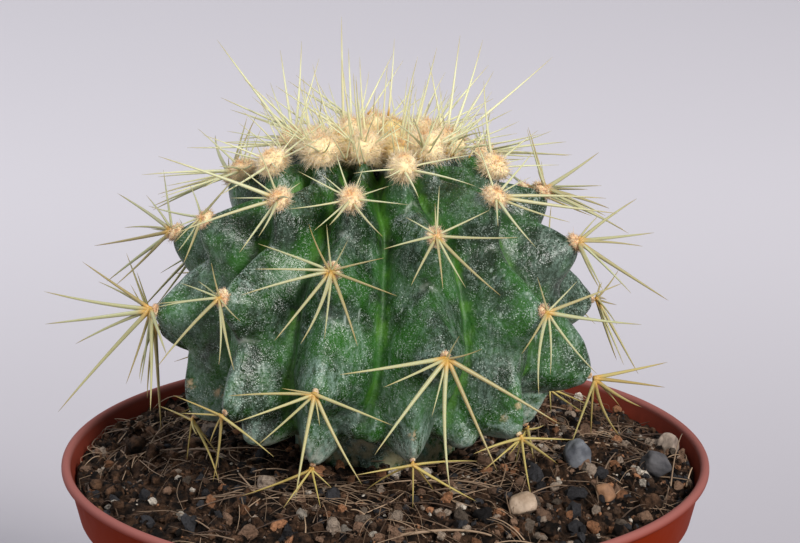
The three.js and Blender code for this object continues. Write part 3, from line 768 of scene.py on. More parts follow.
@dataclass
class Body:
    """The plant's body: a squarish egg through the areoles, cut back between its tubercles."""

    ribs: int = 13
    offset_x: float = -1.3
    middle: float = 86.6
    radius: float = 31.0
    top: float = 24.9
    low: float = 16.9
    squareness: float = 2.2
    far_girth: float = 0.92
    girth_turns: Pair = (50.0, 95.0)
    crown_edge: float = 60.0
    crown_dish: float = 2.6
    crown_dish_spread: float = 15.0
    furrow_depth: float = 7.6
    furrow_floor: float = 0.4
    depth_above: Slide = (25.0, 85.0, 1.0, 0.3)
    depth_below: Slide = (15.0, 50.0, 1.0, 0.8)
    calm_crown: Pair = (86.0, 76.0)
    neck_radius: float = 10.5
    neck_depth: float = 24.0
    neck_below: float = -20.0
    first_rib_turn: float = -12.1
    tubercle_above: float = 12.0
    tubercle_below: float = 5.4
    tubercle_cap: float = 1.05
    tubercle_sizes: Slide = (30.0, 75.0, 1.0, 0.62)
    tubercle_power: int = 6
    ridge_curve: float = 0.8
    flank_curve: float = 1.15
    crest_round: float = 0.08
    furrow_width: float = 0.9
    furrow_cut: float = 0.7
    crease_cut: float = 0.45
    crease_level: float = 0.07
    crease_from: Pair = (0.18, 0.42)
    bump_size: float = 3.2
    bump_height: float = 0.16
    fold_size: Triple = (1.1, 1.1, 5.5)
    fold_height: float = 0.1
    smooth_tips: Pair = (0.85, 1.0)
    bloom_up: Slide = (0.35, 0.9, 0.55, 1.0)
    bloom_above: Slide = (-5.0, 50.0, 1.0, 0.45)
    bloom_below: Slide = (8.0, 26.0, 1.0, 2.3)
    columns: int = 13 * 32
    rows: int = 220
    noise: LatticeNoise = field(default_factory=lambda: LatticeNoise(3))
    old_tubercles: tuple[Triple, ...] = (
        (-37.0, -21.0, 0.95),
        (-3.0, -22.0, 0.55),
        (31.0, -26.0, 0.75),
    )
    old_radius: float = 4.5
    scars: tuple[Triple, ...] = (
        (-59.8, -15.5, 0.95),
        (39.0, -9.0, 0.55),
        (10.2, -14.5, 0.7),
        (36.5, -12.8, 0.5),
        (-65.8, -12.2, 0.8),
    )
    tips: tuple[tuple[Pair, ...], ...] = (
        ((73.0, 0.0), (47.5, 3.0), (27.5, 0.8), (0.0, -1.3), (-30.0, -8.7)),
        ((59.5, -1.4), (36.0, 2.2), (8.0, 0.4), (-22.0, -5.2)),
        ((68.4, -2.0), (44.4, 2.8), (14.3, 0.3), (-16.5, -3.5)),
        ((53.4, -5.0), (25.5, 1.0), (-10.5, 4.0), (-32.0, 4.0)),
        ((68.0, 0.0), (36.0, 3.0), (3.0, 0.0), (-24.0, 0.0)),
        ((70.0, 0.0), (48.0, 0.0), (29.0, 0.0), (0.0, 0.0), (-25.0, 0.0)),
        ((60.0, 0.0), (36.0, 0.0), (8.5, 0.0), (-18.0, 0.0)),
        ((67.0, 0.0), (44.0, 0.0), (17.0, 0.0), (-9.0, 0.0), (-30.0, 0.0)),
        ((74.0, 0.0), (52.0, 0.0), (26.0, 0.0), (-2.0, 0.0), (-26.0, 0.0)),
        ((60.0, 2.0), (36.0, 2.0), (8.5, 0.0), (-18.0, 0.0)),
        ((71.0, 6.0), (49.5, 11.0), (24.5, 7.0), (-4.0, 0.0), (-28.0, 0.0)),
        ((56.0, 9.0), (34.0, 5.5), (8.5, -1.0), (-22.0, 0.0)),
        ((65.4, 1.1), (45.0, 3.7), (18.0, 0.2), (-9.0, 1.8)),
    )

    @property
    def pitch(self) -> float:
        """Turn from one rib to the next."""
        return 360.0 / self.ribs

    def girth(self, turn: Array, elevation: Array) -> Array:
        """Share of its full width that the plant has: less at the sides and back, halfway at the crown."""
        share = smoothstep(np.abs(turn_between(turn, 0.0)), *self.girth_turns)
        return lerp(1.0, self.far_girth, lerp(share, 0.5, smoothstep(elevation, self.crown_edge, 90.0)))

    def egg_reach(self, turn: Array, elevation: Array) -> Array:
        """Distance from the body's middle to the egg through the areoles.

        The egg is the curve (|cos e / radius|^n + |sin e / half|^n)^(-1/n), less a dish round the crown
        that fades as a bell curve of the angle from it, times the girth.

        Args:
            turn: Azimuths.
            elevation: Elevations above the body's middle.

        Returns:
            The distances.
        """
        rise = np.radians(elevation)
        half = np.where(elevation > 0, self.top, self.low)
        across = np.abs(np.cos(rise) / self.radius) ** self.squareness
        along = np.abs(np.sin(rise) / half) ** self.squareness
        dish = self.crown_dish * np.exp(-(((90.0 - elevation) / self.crown_dish_spread) ** 2))
        return self.girth(turn, elevation) * ((across + along) ** (-1.0 / self.squareness) - dish)

    def rib_turn(self, rib: int, elevation: Array) -> Array:
        """Azimuth of a rib, which runs through its own areoles."""
        levels, leans = zip(*reversed(self.tips[rib]))
        return self.first_rib_turn + rib * self.pitch + np.interp(elevation, levels, leans)

    def areole(self, rib: int, rank: int, elevation: float) -> Areole:
        """Places an areole on its rib."""
        turn = float(self.rib_turn(rib, elevation))
        return Areole(rib, rank, elevation, turn, float(self.egg_reach(turn, elevation)))

    def areoles(self) -> list[Areole]:
        """Lists every areole with its place."""
        ranks = [(rib, rank, tip[0]) for rib, tips in enumerate(self.tips) for rank, tip in enumerate(tips)]
        return [self.areole(*place) for place in ranks]

    def point(self, turn: Array, elevation: Array, reach: Array) -> Array:
        """Point at an azimuth, an elevation and a distance from the body's middle.

        Args:
            turn: Azimuths.
            elevation: Elevations.
            reach: Distances.

        Returns:
            Points, three numbers each.
        """
        level = reach * np.cos(np.radians(elevation))
        x = self.offset_x + level * np.sin(np.radians(turn))
        y = -level * np.cos(np.radians(turn))
        return np.stack([x, y, self.middle + reach * np.sin(np.radians(elevation))], axis=-1)

    def flank(self, turn: Array, crest: Array, width: Array) -> Array:
        """Height across a rib, from 1 on its crest to 0 in the furrow, halfway to the next rib.

        With u the way from the crest to the furrow, the crest is rounded to (sqrt(u^2 + r^2) - r), scaled
        to reach 1 in the furrow, and the height is 1 less that, to the power of the flank's curve.

        Args:
            turn: Azimuths.
            crest: Azimuths of the crest.
            width: Share of its full width that the rib has.

        Returns:
            The heights.
        """
        u = np.minimum(1.0, 2.0 * np.abs(turn_between(turn, crest)) / (self.pitch * width))
        blunt = self.crest_round
        v = (np.sqrt(u**2 + blunt**2) - blunt) / (math.sqrt(1.0 + blunt**2) - blunt)
        return np.maximum(0.0, 1.0 - v) ** self.flank_curve

    def tubercle(self, place: Areole, turn: Array, elevation: Array, reach: Array) -> Array:
        """Height of one tubercle, from 0 to 1.

        Above its areole the tubercle is a ridge that rises as a power of the way down to the areole while
        it widens from half to all of the rib; below the areole it falls as a bell curve.

        Args:
            place: The tubercle's areole.
            turn: Azimuths.
            elevation: Elevations.
            reach: Distances of the egg.

        Returns:
            The heights.
        """
        below = np.radians(place.elevation - elevation) * (reach + place.reach) / 2.0
        size = float(slide(place.elevation, *self.tubercle_sizes))
        above = np.clip(-below / (self.tubercle_above * size), 0.0, 1.0)
        chin = np.exp(-((below / (self.tubercle_below * size)) ** 2))
        along = np.where(below < 0.0, (1.0 - above) ** self.ridge_curve, chin)
        return along * self.flank(turn, place.turn, lerp(1.0, 0.5, above))

    def old_tubercle(self, knob: Triple, turn: Array, elevation: Array, reach: Array) -> Array:
        """Height of a bare old tubercle, from 0 to 1: a knob that falls away as a bell curve.

        Args:
            knob: Its azimuth, elevation and height.
            turn: Azimuths.
            elevation: Elevations.
            reach: Distances of the egg.

        Returns:
            The heights.
        """
        side = np.radians(turn_between(turn, knob[0])) * np.cos(np.radians(elevation))
        away = np.hypot(side, np.radians(elevation - knob[1])) * reach
        return knob[2] * np.exp(-((away / self.old_radius) ** 2))

    def relief(self, turn: Array, elevation: Array) -> tuple[Array, Array, Array]:
        """Height of the skin between the furrow's floor, 0, and the tubercles' tips, 1, with its creases.

        The height is the power mean of all tubercles and of the low ribs between them, capped at 1.
        A crease lies where the two highest tubercles of a rib are level, and a furrow line where the
        crests of the two nearest ribs are equally far.

        Args:
            turn: Azimuths.
            elevation: Elevations above the body's middle.

        Returns:
            The height, the furrow line's strength and the crease's strength.
        """
        egg = self.egg_reach(turn, elevation)
        crease = np.zeros(egg.shape)
        power = self.tubercle_power
        total = sum(self.old_tubercle(knob, turn, elevation, egg) ** power for knob in self.old_tubercles)
        sides = []
        for rib in range(self.ribs):
            crest = self.rib_turn(rib, elevation)
            hills = [self.tubercle(p, turn, elevation, egg) for p in self.areoles() if p.rib == rib]
            first, second = np.sort(hills, axis=0)[::-1][:2]
            level = np.exp(-(((first - second) / self.crease_level) ** 2))
            crease = np.maximum(crease, level * smoothstep(first, *self.crease_from))
            ridge = self.furrow_floor * self.flank(turn, crest, 1.0)
            total = total + sum(hill**power for hill in hills) + ridge**power
            sides.append(np.abs(turn_between(turn, crest)))
        near, far = np.sort(sides, axis=0)[:2]
        away = np.radians(far - near) / 2.0 * egg * np.cos(np.radians(elevation))
        furrow = np.exp(-((away / self.furrow_width) ** 2))
        return np.minimum(1.0, self.tubercle_cap * total ** (1.0 / power)), furrow, crease

    def skin_reach(self, turn: Array, elevation: Array) -> tuple[Array, Array, Array, Array]:
        """Distance from the body's middle to its skin, widened to a plain neck where it enters the soil.

        Args:
            turn: Azimuths.
            elevation: Elevations above the body's middle.

        Returns:
            The distance and relief's three values.
        """
        relief, furrow, crease = self.relief(turn, elevation)
        depth = self.furrow_depth * slide(elevation, *self.depth_above) * slide(-elevation, *self.depth_below)
        down = np.radians(np.clip(-elevation, 1.0, 90.0))
        neck = np.minimum(self.neck_radius / np.maximum(np.cos(down), 1e-6), self.neck_depth / np.sin(down))
        neck = np.where(elevation < self.neck_below, neck, 0.0)
        calm = smoothstep(elevation, *self.calm_crown)
        cut = calm * (self.furrow_cut * furrow + self.crease_cut * crease)
        reach = self.egg_reach(turn, elevation) - depth * (1.0 - relief) - cut
        return np.maximum(reach, neck), relief, furrow * calm, crease * calm

    def crown_point(self, x: float, y: float) -> Array:
        """Point of the egg near the crown.

        Args:
            x: Place across from the plant's axis.
            y: Place in depth from it.

        Returns:
            The point.
        """
        turn = np.degrees(np.arctan2(x, -y))
        elevation = np.degrees(np.arctan2(self.top, math.hypot(x, y)))
        level = float(self.egg_reach(turn, elevation) * np.sin(np.radians(elevation)))
        return np.array([self.offset_x + x, y, self.middle + level])

    def wrinkles(self, points: Array) -> Array:
        """Fine relief of the skin: bumps on all sides, and folds drawn out along the ribs."""
        bumps = self.noise.fractal(points / self.bump_size, 2) * self.bump_height
        return bumps + self.noise.fractal(points / self.fold_size + 9.0, 2) * self.fold_height

    def markings(self, elevation: Array, relief: Array, furrow: Array, crease: Array) -> dict[str, Array]:
        """Tells how strongly the skin is green, dusted, crusted and chlorotic.

        Args:
            elevation: Elevations.
            relief: Height of the skin between the furrows and the tips.
            furrow: Strength of the furrow line.
            crease: Strength of the creases.

        Returns:
            Named numbers that the skin's material reads.
        """
        valley = furrow * (1.0 - smoothstep(relief, 0.3, 0.75)) * smoothstep(elevation, -40.0, -5.0)
        bloom = slide(relief, *self.bloom_up) * slide(elevation, *self.bloom_above)
        bloom = np.maximum(bloom, crease) * slide(-elevation, *self.bloom_below)
        foot = smoothstep(-elevation, 22.0, 40.0) * (1.0 - smoothstep(relief, 0.3, 0.7))
        crust = np.maximum(crease, smoothstep(-elevation, 12.0, 26.0) * smoothstep(relief, 0.45, 0.95))
        return {"furrow": valley, "bloom": bloom, "crease": crust, "foot": foot}

    def build(self) -> None:
        """Wraps a grid of azimuth and elevation over the skin, closed by a point at each pole."""
        turn = np.linspace(0.0, 360.0, self.columns, endpoint=False)[None, :]
        elevation = np.linspace(90.0, -90.0, self.rows)[1:-1, None]
        reach, relief, furrow, crease = self.skin_reach(turn, elevation)
        calm = 1.0 - smoothstep(relief, *self.smooth_tips)
        reach = reach + self.wrinkles(self.point(turn, elevation, reach)) * calm
        skin = self.point(turn, elevation, reach).reshape(-1, 3)
        ends = np.array([90.0, -90.0])
        poles = self.point(np.zeros(2), ends, self.skin_reach(np.zeros(2), ends)[0])
        values = self.markings(elevation, relief, furrow, crease)
        values["cork"] = self.cork(skin)
        values = {key: np.append(value.ravel(), [0.0, 0.0]) for key, value in values.items()}
        faces = closed_faces(self.rows - 2, self.columns, True)
        piece = make_mesh("cactus_body", np.concatenate([skin, poles]), faces, values)
        settle(piece, SkinFinish().material(), "skin", ["body"])

    def cork(self, skin: Array) -> Array:
        """Strength of the corky scars: a soft spot round each scar's place.

        Args:
            skin: Points of the skin.

        Returns:
            One number for each point.
        """
        total = np.zeros(len(skin))
        for turn, elevation, size in self.scars:
            spot = self.point(turn, elevation, self.skin_reach(turn, elevation)[0])
            far = np.linalg.norm(skin - spot, axis=-1)
            total = np.maximum(total, 1.0 - smoothstep(far, size * 0.5, size))
        return total


@dataclass(frozen=True)
class Spine:
    """A spine's root and point, in millimetres."""

    root: Array
    tip: Array


def read_spines(node: str, deeper: float = 0.9, sharp: float = 60.0, shortest: float = 1.5) -> list[Spine]:
    """Finds the spines of a CAD node.

    A spine's point is a corner where three slim faces meet, so the angles there add up to a few degrees.
    The middle of those faces' far corners lies on the spine's axis, and the root lies a little deeper.

    Args:
        node: Name of the CAD node.
        deeper: How far the root lies past the far corners.
        sharp: Sum of the angles at a corner under which it can be a point.
        shortest: Length that a spine must exceed.

    Returns:
        The spines, in the order of their points.
    """
    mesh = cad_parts[node].data
    corners = np.empty(len(mesh.loops), np.int32)
    mesh.loops.foreach_get("vertex_index", corners)
    places = np.empty(len(mesh.vertices) * 3, np.float32)
    mesh.vertices.foreach_get("co", places)
    places = np.round(places.reshape(-1, 3)[corners].astype(float) / MM, 3)
    points, which = np.unique(places, axis=0, return_inverse=True)
    faces = which.reshape(-1, 3)
    angles = np.zeros(len(points))
    count = np.zeros(len(points), int)
    for k in range(3):
        a, b, c = points[faces[:, k]], points[faces[:, (k + 1) % 3]], points[faces[:, (k + 2) % 3]]
        u, v = b - a, c - a
        cosine = (u * v).sum(1) / (np.linalg.norm(u, axis=1) * np.linalg.norm(v, axis=1) + 1e-12)
        np.add.at(angles, faces[:, k], np.degrees(np.arccos(np.clip(cosine, -1.0, 1.0))))
        np.add.at(count, faces[:, k], 1)
    spines = []
    for tip in np.flatnonzero((angles < sharp) & (count >= 3)):
        around = faces[(faces == tip).any(axis=1)]
        far = points[np.unique(around[around != tip])]
        axis = far.mean(0) - points[tip]
        length = np.linalg.norm(axis)
        if length > shortest:
            spines.append(Spine(points[tip] + axis * (1.0 + deeper / length), points[tip]))
    return spines


@dataclass
class Spines:
    """Round tapering spines on the lines of the CAD needles."""

    thick: float = 0.34
    thin: float = 0.15
    sides: int = 8
    finest: float = 0.012
    lengths: Pair = (4.0, 18.0)
    taper: float = 0.62
    bend: float = 0.014
    young_girth: float = 0.7
    steps: int = 13
    golden_zone: Pair = (72.0, 96.0)
    slant: Triple = (0.31, 0.22, 0.93)

    def surface(self, spines: list[Spine], rng: Rng, youth: float) -> tuple[Array, list[Array], dict]:
        """Sweeps a circle along every spine at once.

        The axis is the straight run from root to point plus a bow of 4s(1 - s) across it. The radius
        grows with the spine's length and falls from root to point as (1 - s)^taper.

        Args:
            spines: The spines.
            rng: Source of the small differences between them.
            youth: 1 for the youngest, greenish-yellow spines and 0 for the oldest.

        Returns:
            Points, faces and values for make_mesh.
        """
        roots = np.array([s.root for s in spines])
        runs = np.array([s.tip for s in spines]) - roots
        lengths = np.linalg.norm(runs, axis=1, keepdims=True)
        ahead = runs / lengths
        side = unit(np.cross(ahead, self.slant))
        other = np.cross(ahead, side)
        s = np.linspace(0.0, 1.0, self.steps)[None, :, None]
        bend = rng.normal(0.0, self.bend, (len(spines), 2)) * lengths
        across = side[:, None] * bend[:, :1, None] + other[:, None] * bend[:, 1:, None]
        axes = roots[:, None] + runs[:, None] * s + 4.0 * s * (1.0 - s) * across
        girth = slide(lengths, *self.lengths, self.thin, self.thick) * lerp(1.0, self.young_girth, youth)
        radii = np.maximum(girth[:, None] * np.clip(1.0 - s, 0.0, 1.0) ** self.taper, self.finest)
        points, faces = sweep(axes, side[:, None], other[:, None], radii, self.sides)
        tone = rng.uniform(0.0, 1.0, (len(spines), 1, 1)) ** 2 * (1.0 - youth)
        low = 1.0 - smoothstep(roots[:, 2], *self.golden_zone)[:, None, None]
        values = {"along": s, "youth": youth, "tone": tone, "low": low}
        values = {key: np.broadcast_to(value, points.shape[:3]).reshape(-1) for key, value in values.items()}
        return points.reshape(-1, 3), faces, values


@dataclass(frozen=True)
class Seat:
    """Where a pad of wool sits, how young it is from 0 to 1, its radius, and how golden it is."""

    axes: Array
    young: float
    radius: float
    gold: float


@dataclass
class Plant:
    """Areoles and crown: the spines and the wool that dress the body."""

    body: Body
    crown_elevation: float = 66.0
    young_zone: Pair = (28.0, 62.0)
    young_pad: float = 1.75
    old_pads: Slide = (-5.0, 26.0, 0.34, 1.05)
    young_pads: Slide = (58.0, 66.0, young_pad, 2.15)
    pad_widths: Pair = (0.88, 1.18)
    pad_heights: Pair = (0.62, 0.95)
    pad_lift: float = 0.55
    pad_grid: tuple[int, int] = (14, 24)
    pad_knobs: Pair = (0.16, 2.6)
    tuft_pad: float = 1.7
    tuft_gold: float = 0.55
    hair_length: float = 1.15
    hair_radius: float = 0.030
    hair_shares: Pair = (0.35, 1.0)
    hair_growth: float = 1.3
    hair_curl: float = 0.35
    hair_lowest: float = -0.75
    hairs_old: int = 420
    hairs_young: int = 900
    tufts: int = 12
    tuft_circle: float = 7.5
    tuft_lifts: Pair = (-0.2, 0.5)
    bristles: int = 64
    bristle_circle: float = 12.0
    bristle_lean: float = 4.0
    bristle_spread: float = 12.0
    bristle_swing: float = 0.5
    bristle_lengths: Pair = (5.0, 10.5)
    crown_roots: float = 3.0
    noise: LatticeNoise = field(default_factory=lambda: LatticeNoise(5))

    def frame_of(self, place: Areole, step: float = 2.0) -> Array:
        """Axes and origin of an areole.

        Args:
            place: The areole.
            step: Elevation on each side of it between which the rib's direction is taken.

        Returns:
            Right, up the rib, out of the plant, and the seat of its pad.
        """
        turns = np.full(2, place.turn)
        heights = np.array([place.elevation - step, place.elevation + step])
        lower, upper = self.body.point(turns, heights, self.body.egg_reach(turns, heights))
        up = unit(upper - lower)
        right = np.array([math.cos(math.radians(place.turn)), math.sin(math.radians(place.turn)), 0.0])
        seat = self.body.point(place.turn, place.elevation, place.reach)
        return np.array([right, up, np.cross(right, up), seat])

    def cushion(self, radius: float, height: float) -> tuple[Array, Array]:
        """Half sizes of a pad and the lift of its middle."""
        across, along = self.pad_widths
        size = np.array([radius * across, radius * along, height])
        return size, np.array([0.0, 0.0, height * self.pad_lift])

    def pad(self, axes: Array, radius: float, height: float) -> Surface:
        """A cushion of felt: a squashed ball, knobbed by noise, that sits on the skin.

        Args:
            axes: The pad's axes and seat.
            radius: The pad's radius.
            height: The pad's height.

        Returns:
            Points and faces.
        """
        points, faces = ball(*self.pad_grid)
        depth, fineness = self.pad_knobs
        knobs = 1.0 + depth * self.noise.fractal(points * fineness + axes[3], 3)
        size, lift = self.cushion(radius, height)
        local = points * size * knobs[:, None] + lift
        return local @ axes[:3] + axes[3], faces

    def hairs(self, axes: Array, radius: float, height: float, count: int, rng: Rng) -> Surface:
        """Fine hairs that stand out of a pad on all sides and curl over.

        Each hair is a three-sided cone in two steps. It leaves the pad's surface along its normal, and
        its end is carried sideways by a random curl.

        Args:
            axes: The pad's axes and seat.
            radius: The pad's radius.
            height: The pad's height.
            count: Number of hairs.
            rng: Source of their differences.

        Returns:
            Points and faces.
        """
        turn = rng.uniform(0.0, 2.0 * np.pi, count)
        lift = np.arcsin(rng.uniform(self.hair_lowest, 1.0, count))
        out = level_ring(np.cos(lift), np.sin(lift), turn)
        size, middle = self.cushion(radius, height)
        base = out * size * 0.9 + middle
        length = self.hair_length * rng.uniform(*self.hair_shares, (count, 1))
        length = length * (radius / self.young_pad) ** self.hair_growth
        curl = rng.normal(0.0, self.hair_curl, (count, 3)) * length
        waist = base + out * length * 0.55 + curl * 0.25
        tip = base + out * length + curl
        side = unit(np.cross(out, rng.normal(size=(count, 3))))
        other = np.cross(out, side)
        around = np.radians([0.0, 120.0, 240.0])[None, :, None]
        ring = self.hair_radius * (np.cos(around) * side[:, None] + np.sin(around) * other[:, None])
        local = np.concatenate([base[:, None] + ring, waist[:, None] + ring * 0.8, tip[:, None]], axis=1)
        starts = (np.arange(count) * 7)[:, None, None]
        quads = (np.array([[0, 1, 4, 3], [1, 2, 5, 4], [2, 0, 3, 5]])[None] + starts).reshape(-1, 4)
        ends = (np.array([[3, 4, 6], [4, 5, 6], [5, 3, 6], [0, 2, 1]])[None] + starts).reshape(-1, 3)
        return local.reshape(-1, 3) @ axes[:3] + axes[3], [quads, ends]

    def build(self) -> None:
        """Builds spines and wool, rib by rib and then the crown."""
        skins = (SpineFinish().material(), WoolFinish().material())
        groups: dict[str, list[Areole]] = {}
        for place in self.body.areoles():
            key = "crown" if place.elevation >= self.crown_elevation else f"rib_{place.rib + 1:02d}"
            groups.setdefault(key, []).append(place)
        for key in sorted(groups):
            self.build_group(key, groups[key], *skins)

    def tuft_frames(self, rng: Rng) -> list[Array]:
        """Frames of the tufts that fill the crown's middle, along a sunflower spiral.

        Args:
            rng: Source of the differences in height.

        Returns:
            Axes and seat of each tuft.
        """
        frames = []
        for k in range(self.tufts):
            turn = math.radians(GOLDEN_ANGLE * k)
            away = self.tuft_circle * math.sqrt((k + 0.5) / self.tufts)
            out = leaning(turn, away / self.body.top * 0.5)
            right = np.array([-math.sin(turn), math.cos(turn), 0.0])
            seat = self.body.crown_point(away * math.cos(turn), away * math.sin(turn))
            seat = seat + out * rng.uniform(*self.tuft_lifts)
            frames.append(np.array([right, np.cross(out, right), out, seat]))
        return frames

    def bristle_lines(self, rng: Rng) -> list[Spine]:
        """Thin young spines between the crown's CAD needles, which lean more the further out they stand.

        Args:
            rng: Source of their places and leans.

        Returns:
            The spines.
        """
        lines = []
        for _ in range(self.bristles):
            turn = rng.uniform(0.0, 2.0 * math.pi)
            away = self.bristle_circle * math.sqrt(rng.uniform(0.02, 1.0))
            lean = math.radians(rng.normal(self.bristle_lean * away, self.bristle_spread))
            out = leaning(turn + rng.normal(0.0, self.bristle_swing), lean)
            root = self.body.crown_point(away * math.cos(turn), away * math.sin(turn))
            lines.append(Spine(root, root + out * rng.uniform(*self.bristle_lengths)))
        return lines

    def pad_radius(self, elevation: float, young: float) -> float:
        """Radius of an areole's pad: it shrinks down the plant and is largest in the crown."""
        old = slide(elevation, *self.old_pads)
        return float(lerp(old, slide(elevation, *self.young_pads), young))

    def build_group(self, key: str, places: list[Areole], spine_skin: Material, wool_skin: Material) -> None:
        """Builds the spines of a group as one piece and its wool as another.

        Args:
            key: Name of the rib, or crown.
            places: Its areoles.
            spine_skin: Material of the spines.
            wool_skin: Material of the wool.
        """
        rng = np.random.default_rng(sum(map(ord, key)))
        spines = Builder()
        wool = Builder()
        seats = []
        for place in places:
            young = float(smoothstep(place.elevation, *self.young_zone))
            seats.append(Seat(self.frame_of(place), young, self.pad_radius(place.elevation, young), 0.0))
            if key != "crown":
                found = read_spines(f"areole_{place.rib + 1}_{place.rank + 1}")
                spines.add(*Spines().surface(found, rng, young))
        nodes = [f"areole_{p.rib + 1}_{p.rank + 1}" for p in places]
        if key == "crown":
            needles = read_spines("crown", self.crown_roots)
            spines.add(*Spines().surface(needles + self.bristle_lines(rng), rng, 1.0))
            seats += [Seat(axes, 1.0, self.tuft_pad, self.tuft_gold) for axes in self.tuft_frames(rng)]
            nodes = ["crown"]
        for seat in seats:
            height = seat.radius * float(lerp(*self.pad_heights, seat.young))
            count = int(lerp(self.hairs_old, self.hairs_young, seat.young))
            shape = (seat.axes, seat.radius, height)
            for points, faces in (self.pad(*shape), self.hairs(*shape, count, rng)):
                local = (points - seat.axes[3]) @ seat.axes[:3].T
                heart = 1.0 - smoothstep(np.hypot(local[:, 0], local[:, 1]) / seat.radius, 0.1, 0.7)
                flat = {"age": 1.0 - seat.young, "gold": seat.gold}
                values = {name: np.full(len(points), value) for name, value in flat.items()}
                wool.add(points, faces, values | {"heart": heart * (local[:, 2] > 0.0)})
        settle(spines.make(f"{key}_spines"), spine_skin, "spines", nodes)
        settle(wool.make(f"{key}_wool"), wool_skin, "wool", [])


class Builder:
    """Gathers surfaces into one mesh."""

    def __init__(self) -> None:
        """Starts with nothing."""
        self.points: list[Array] = []
        self.faces: dict[int, list[Array]] = {}
        self.values: dict[str, list[Array]] = {}
        self.count = 0

    def add(self, points: Array, faces: list[Array], values: dict[str, Array] | None = None) -> None:
        """Adds a surface.

        Args:
            points: Its points.
            faces: Its faces, as for make_mesh.
            values: Its named numbers.
        """
        for some in faces:
            self.faces.setdefault(some.shape[1], []).append(some + self.count)
        self.points.append(points)
        for key, numbers in (values or {}).items():
            self.values.setdefault(key, []).append(numbers)
        self.count += len(points)

    def make(self, name: str, smooth: bool = True) -> Piece:
        """Makes the mesh of all that was added.

        Args:
            name: Name of the object.
            smooth: Whether the faces are shaded smooth.

        Returns:
            The new object.
        """
        faces = [np.concatenate(some) for some in self.faces.values()]
        values = {key: np.concatenate(numbers) for key, numbers in self.values.items()}
        return make_mesh(name, np.concatenate(self.points), faces, values, smooth)


@dataclass(frozen=True)
class Grade:
    """Crumbs of one grade: how many, how large, of what, and how finely shaped.

    A crumb's size is the smallest plus the spread times a Pareto draw, up to the largest. The mix holds
    the share of each variety, and slim and wide the bounds of a crumb's three sides as shares of its size.
    """

    name: str
    count: int
    smallest: float
    spread: float
    tail: float
    largest: float
    mix: tuple[float, ...]
    wide: Triple
    rows: int
    columns: int
    slim: Triple = (0.8, 0.6, 0.5)


CRUMBS = Grade(
    "soil_crumbs", 9500, 0.35, 0.25, 2.6, 1.3, (0.58, 0.20, 0.10, 0.05, 0.04, 0.03), (1.4, 1.0, 0.9), 4, 5
)
GRAINS = Grade(
    "soil_grains", 1500, 1.1, 0.6, 2.4, 3.4, (0.30, 0.20, 0.26, 0.07, 0.12, 0.05), (1.2, 1.0, 0.9), 7, 8
)


@dataclass(frozen=True)
class Lump:
    """A listed crumb: where it lies, its size and its variety."""

    x: float
    y: float
    size: Triple
    variety: Variety


@dataclass(frozen=True)
class Rootlet:
    """A listed rootlet: its start, the point it bends towards and its end, each as x, y and lift."""

    course: tuple[Triple, ...]
    radius: float
    tone: float


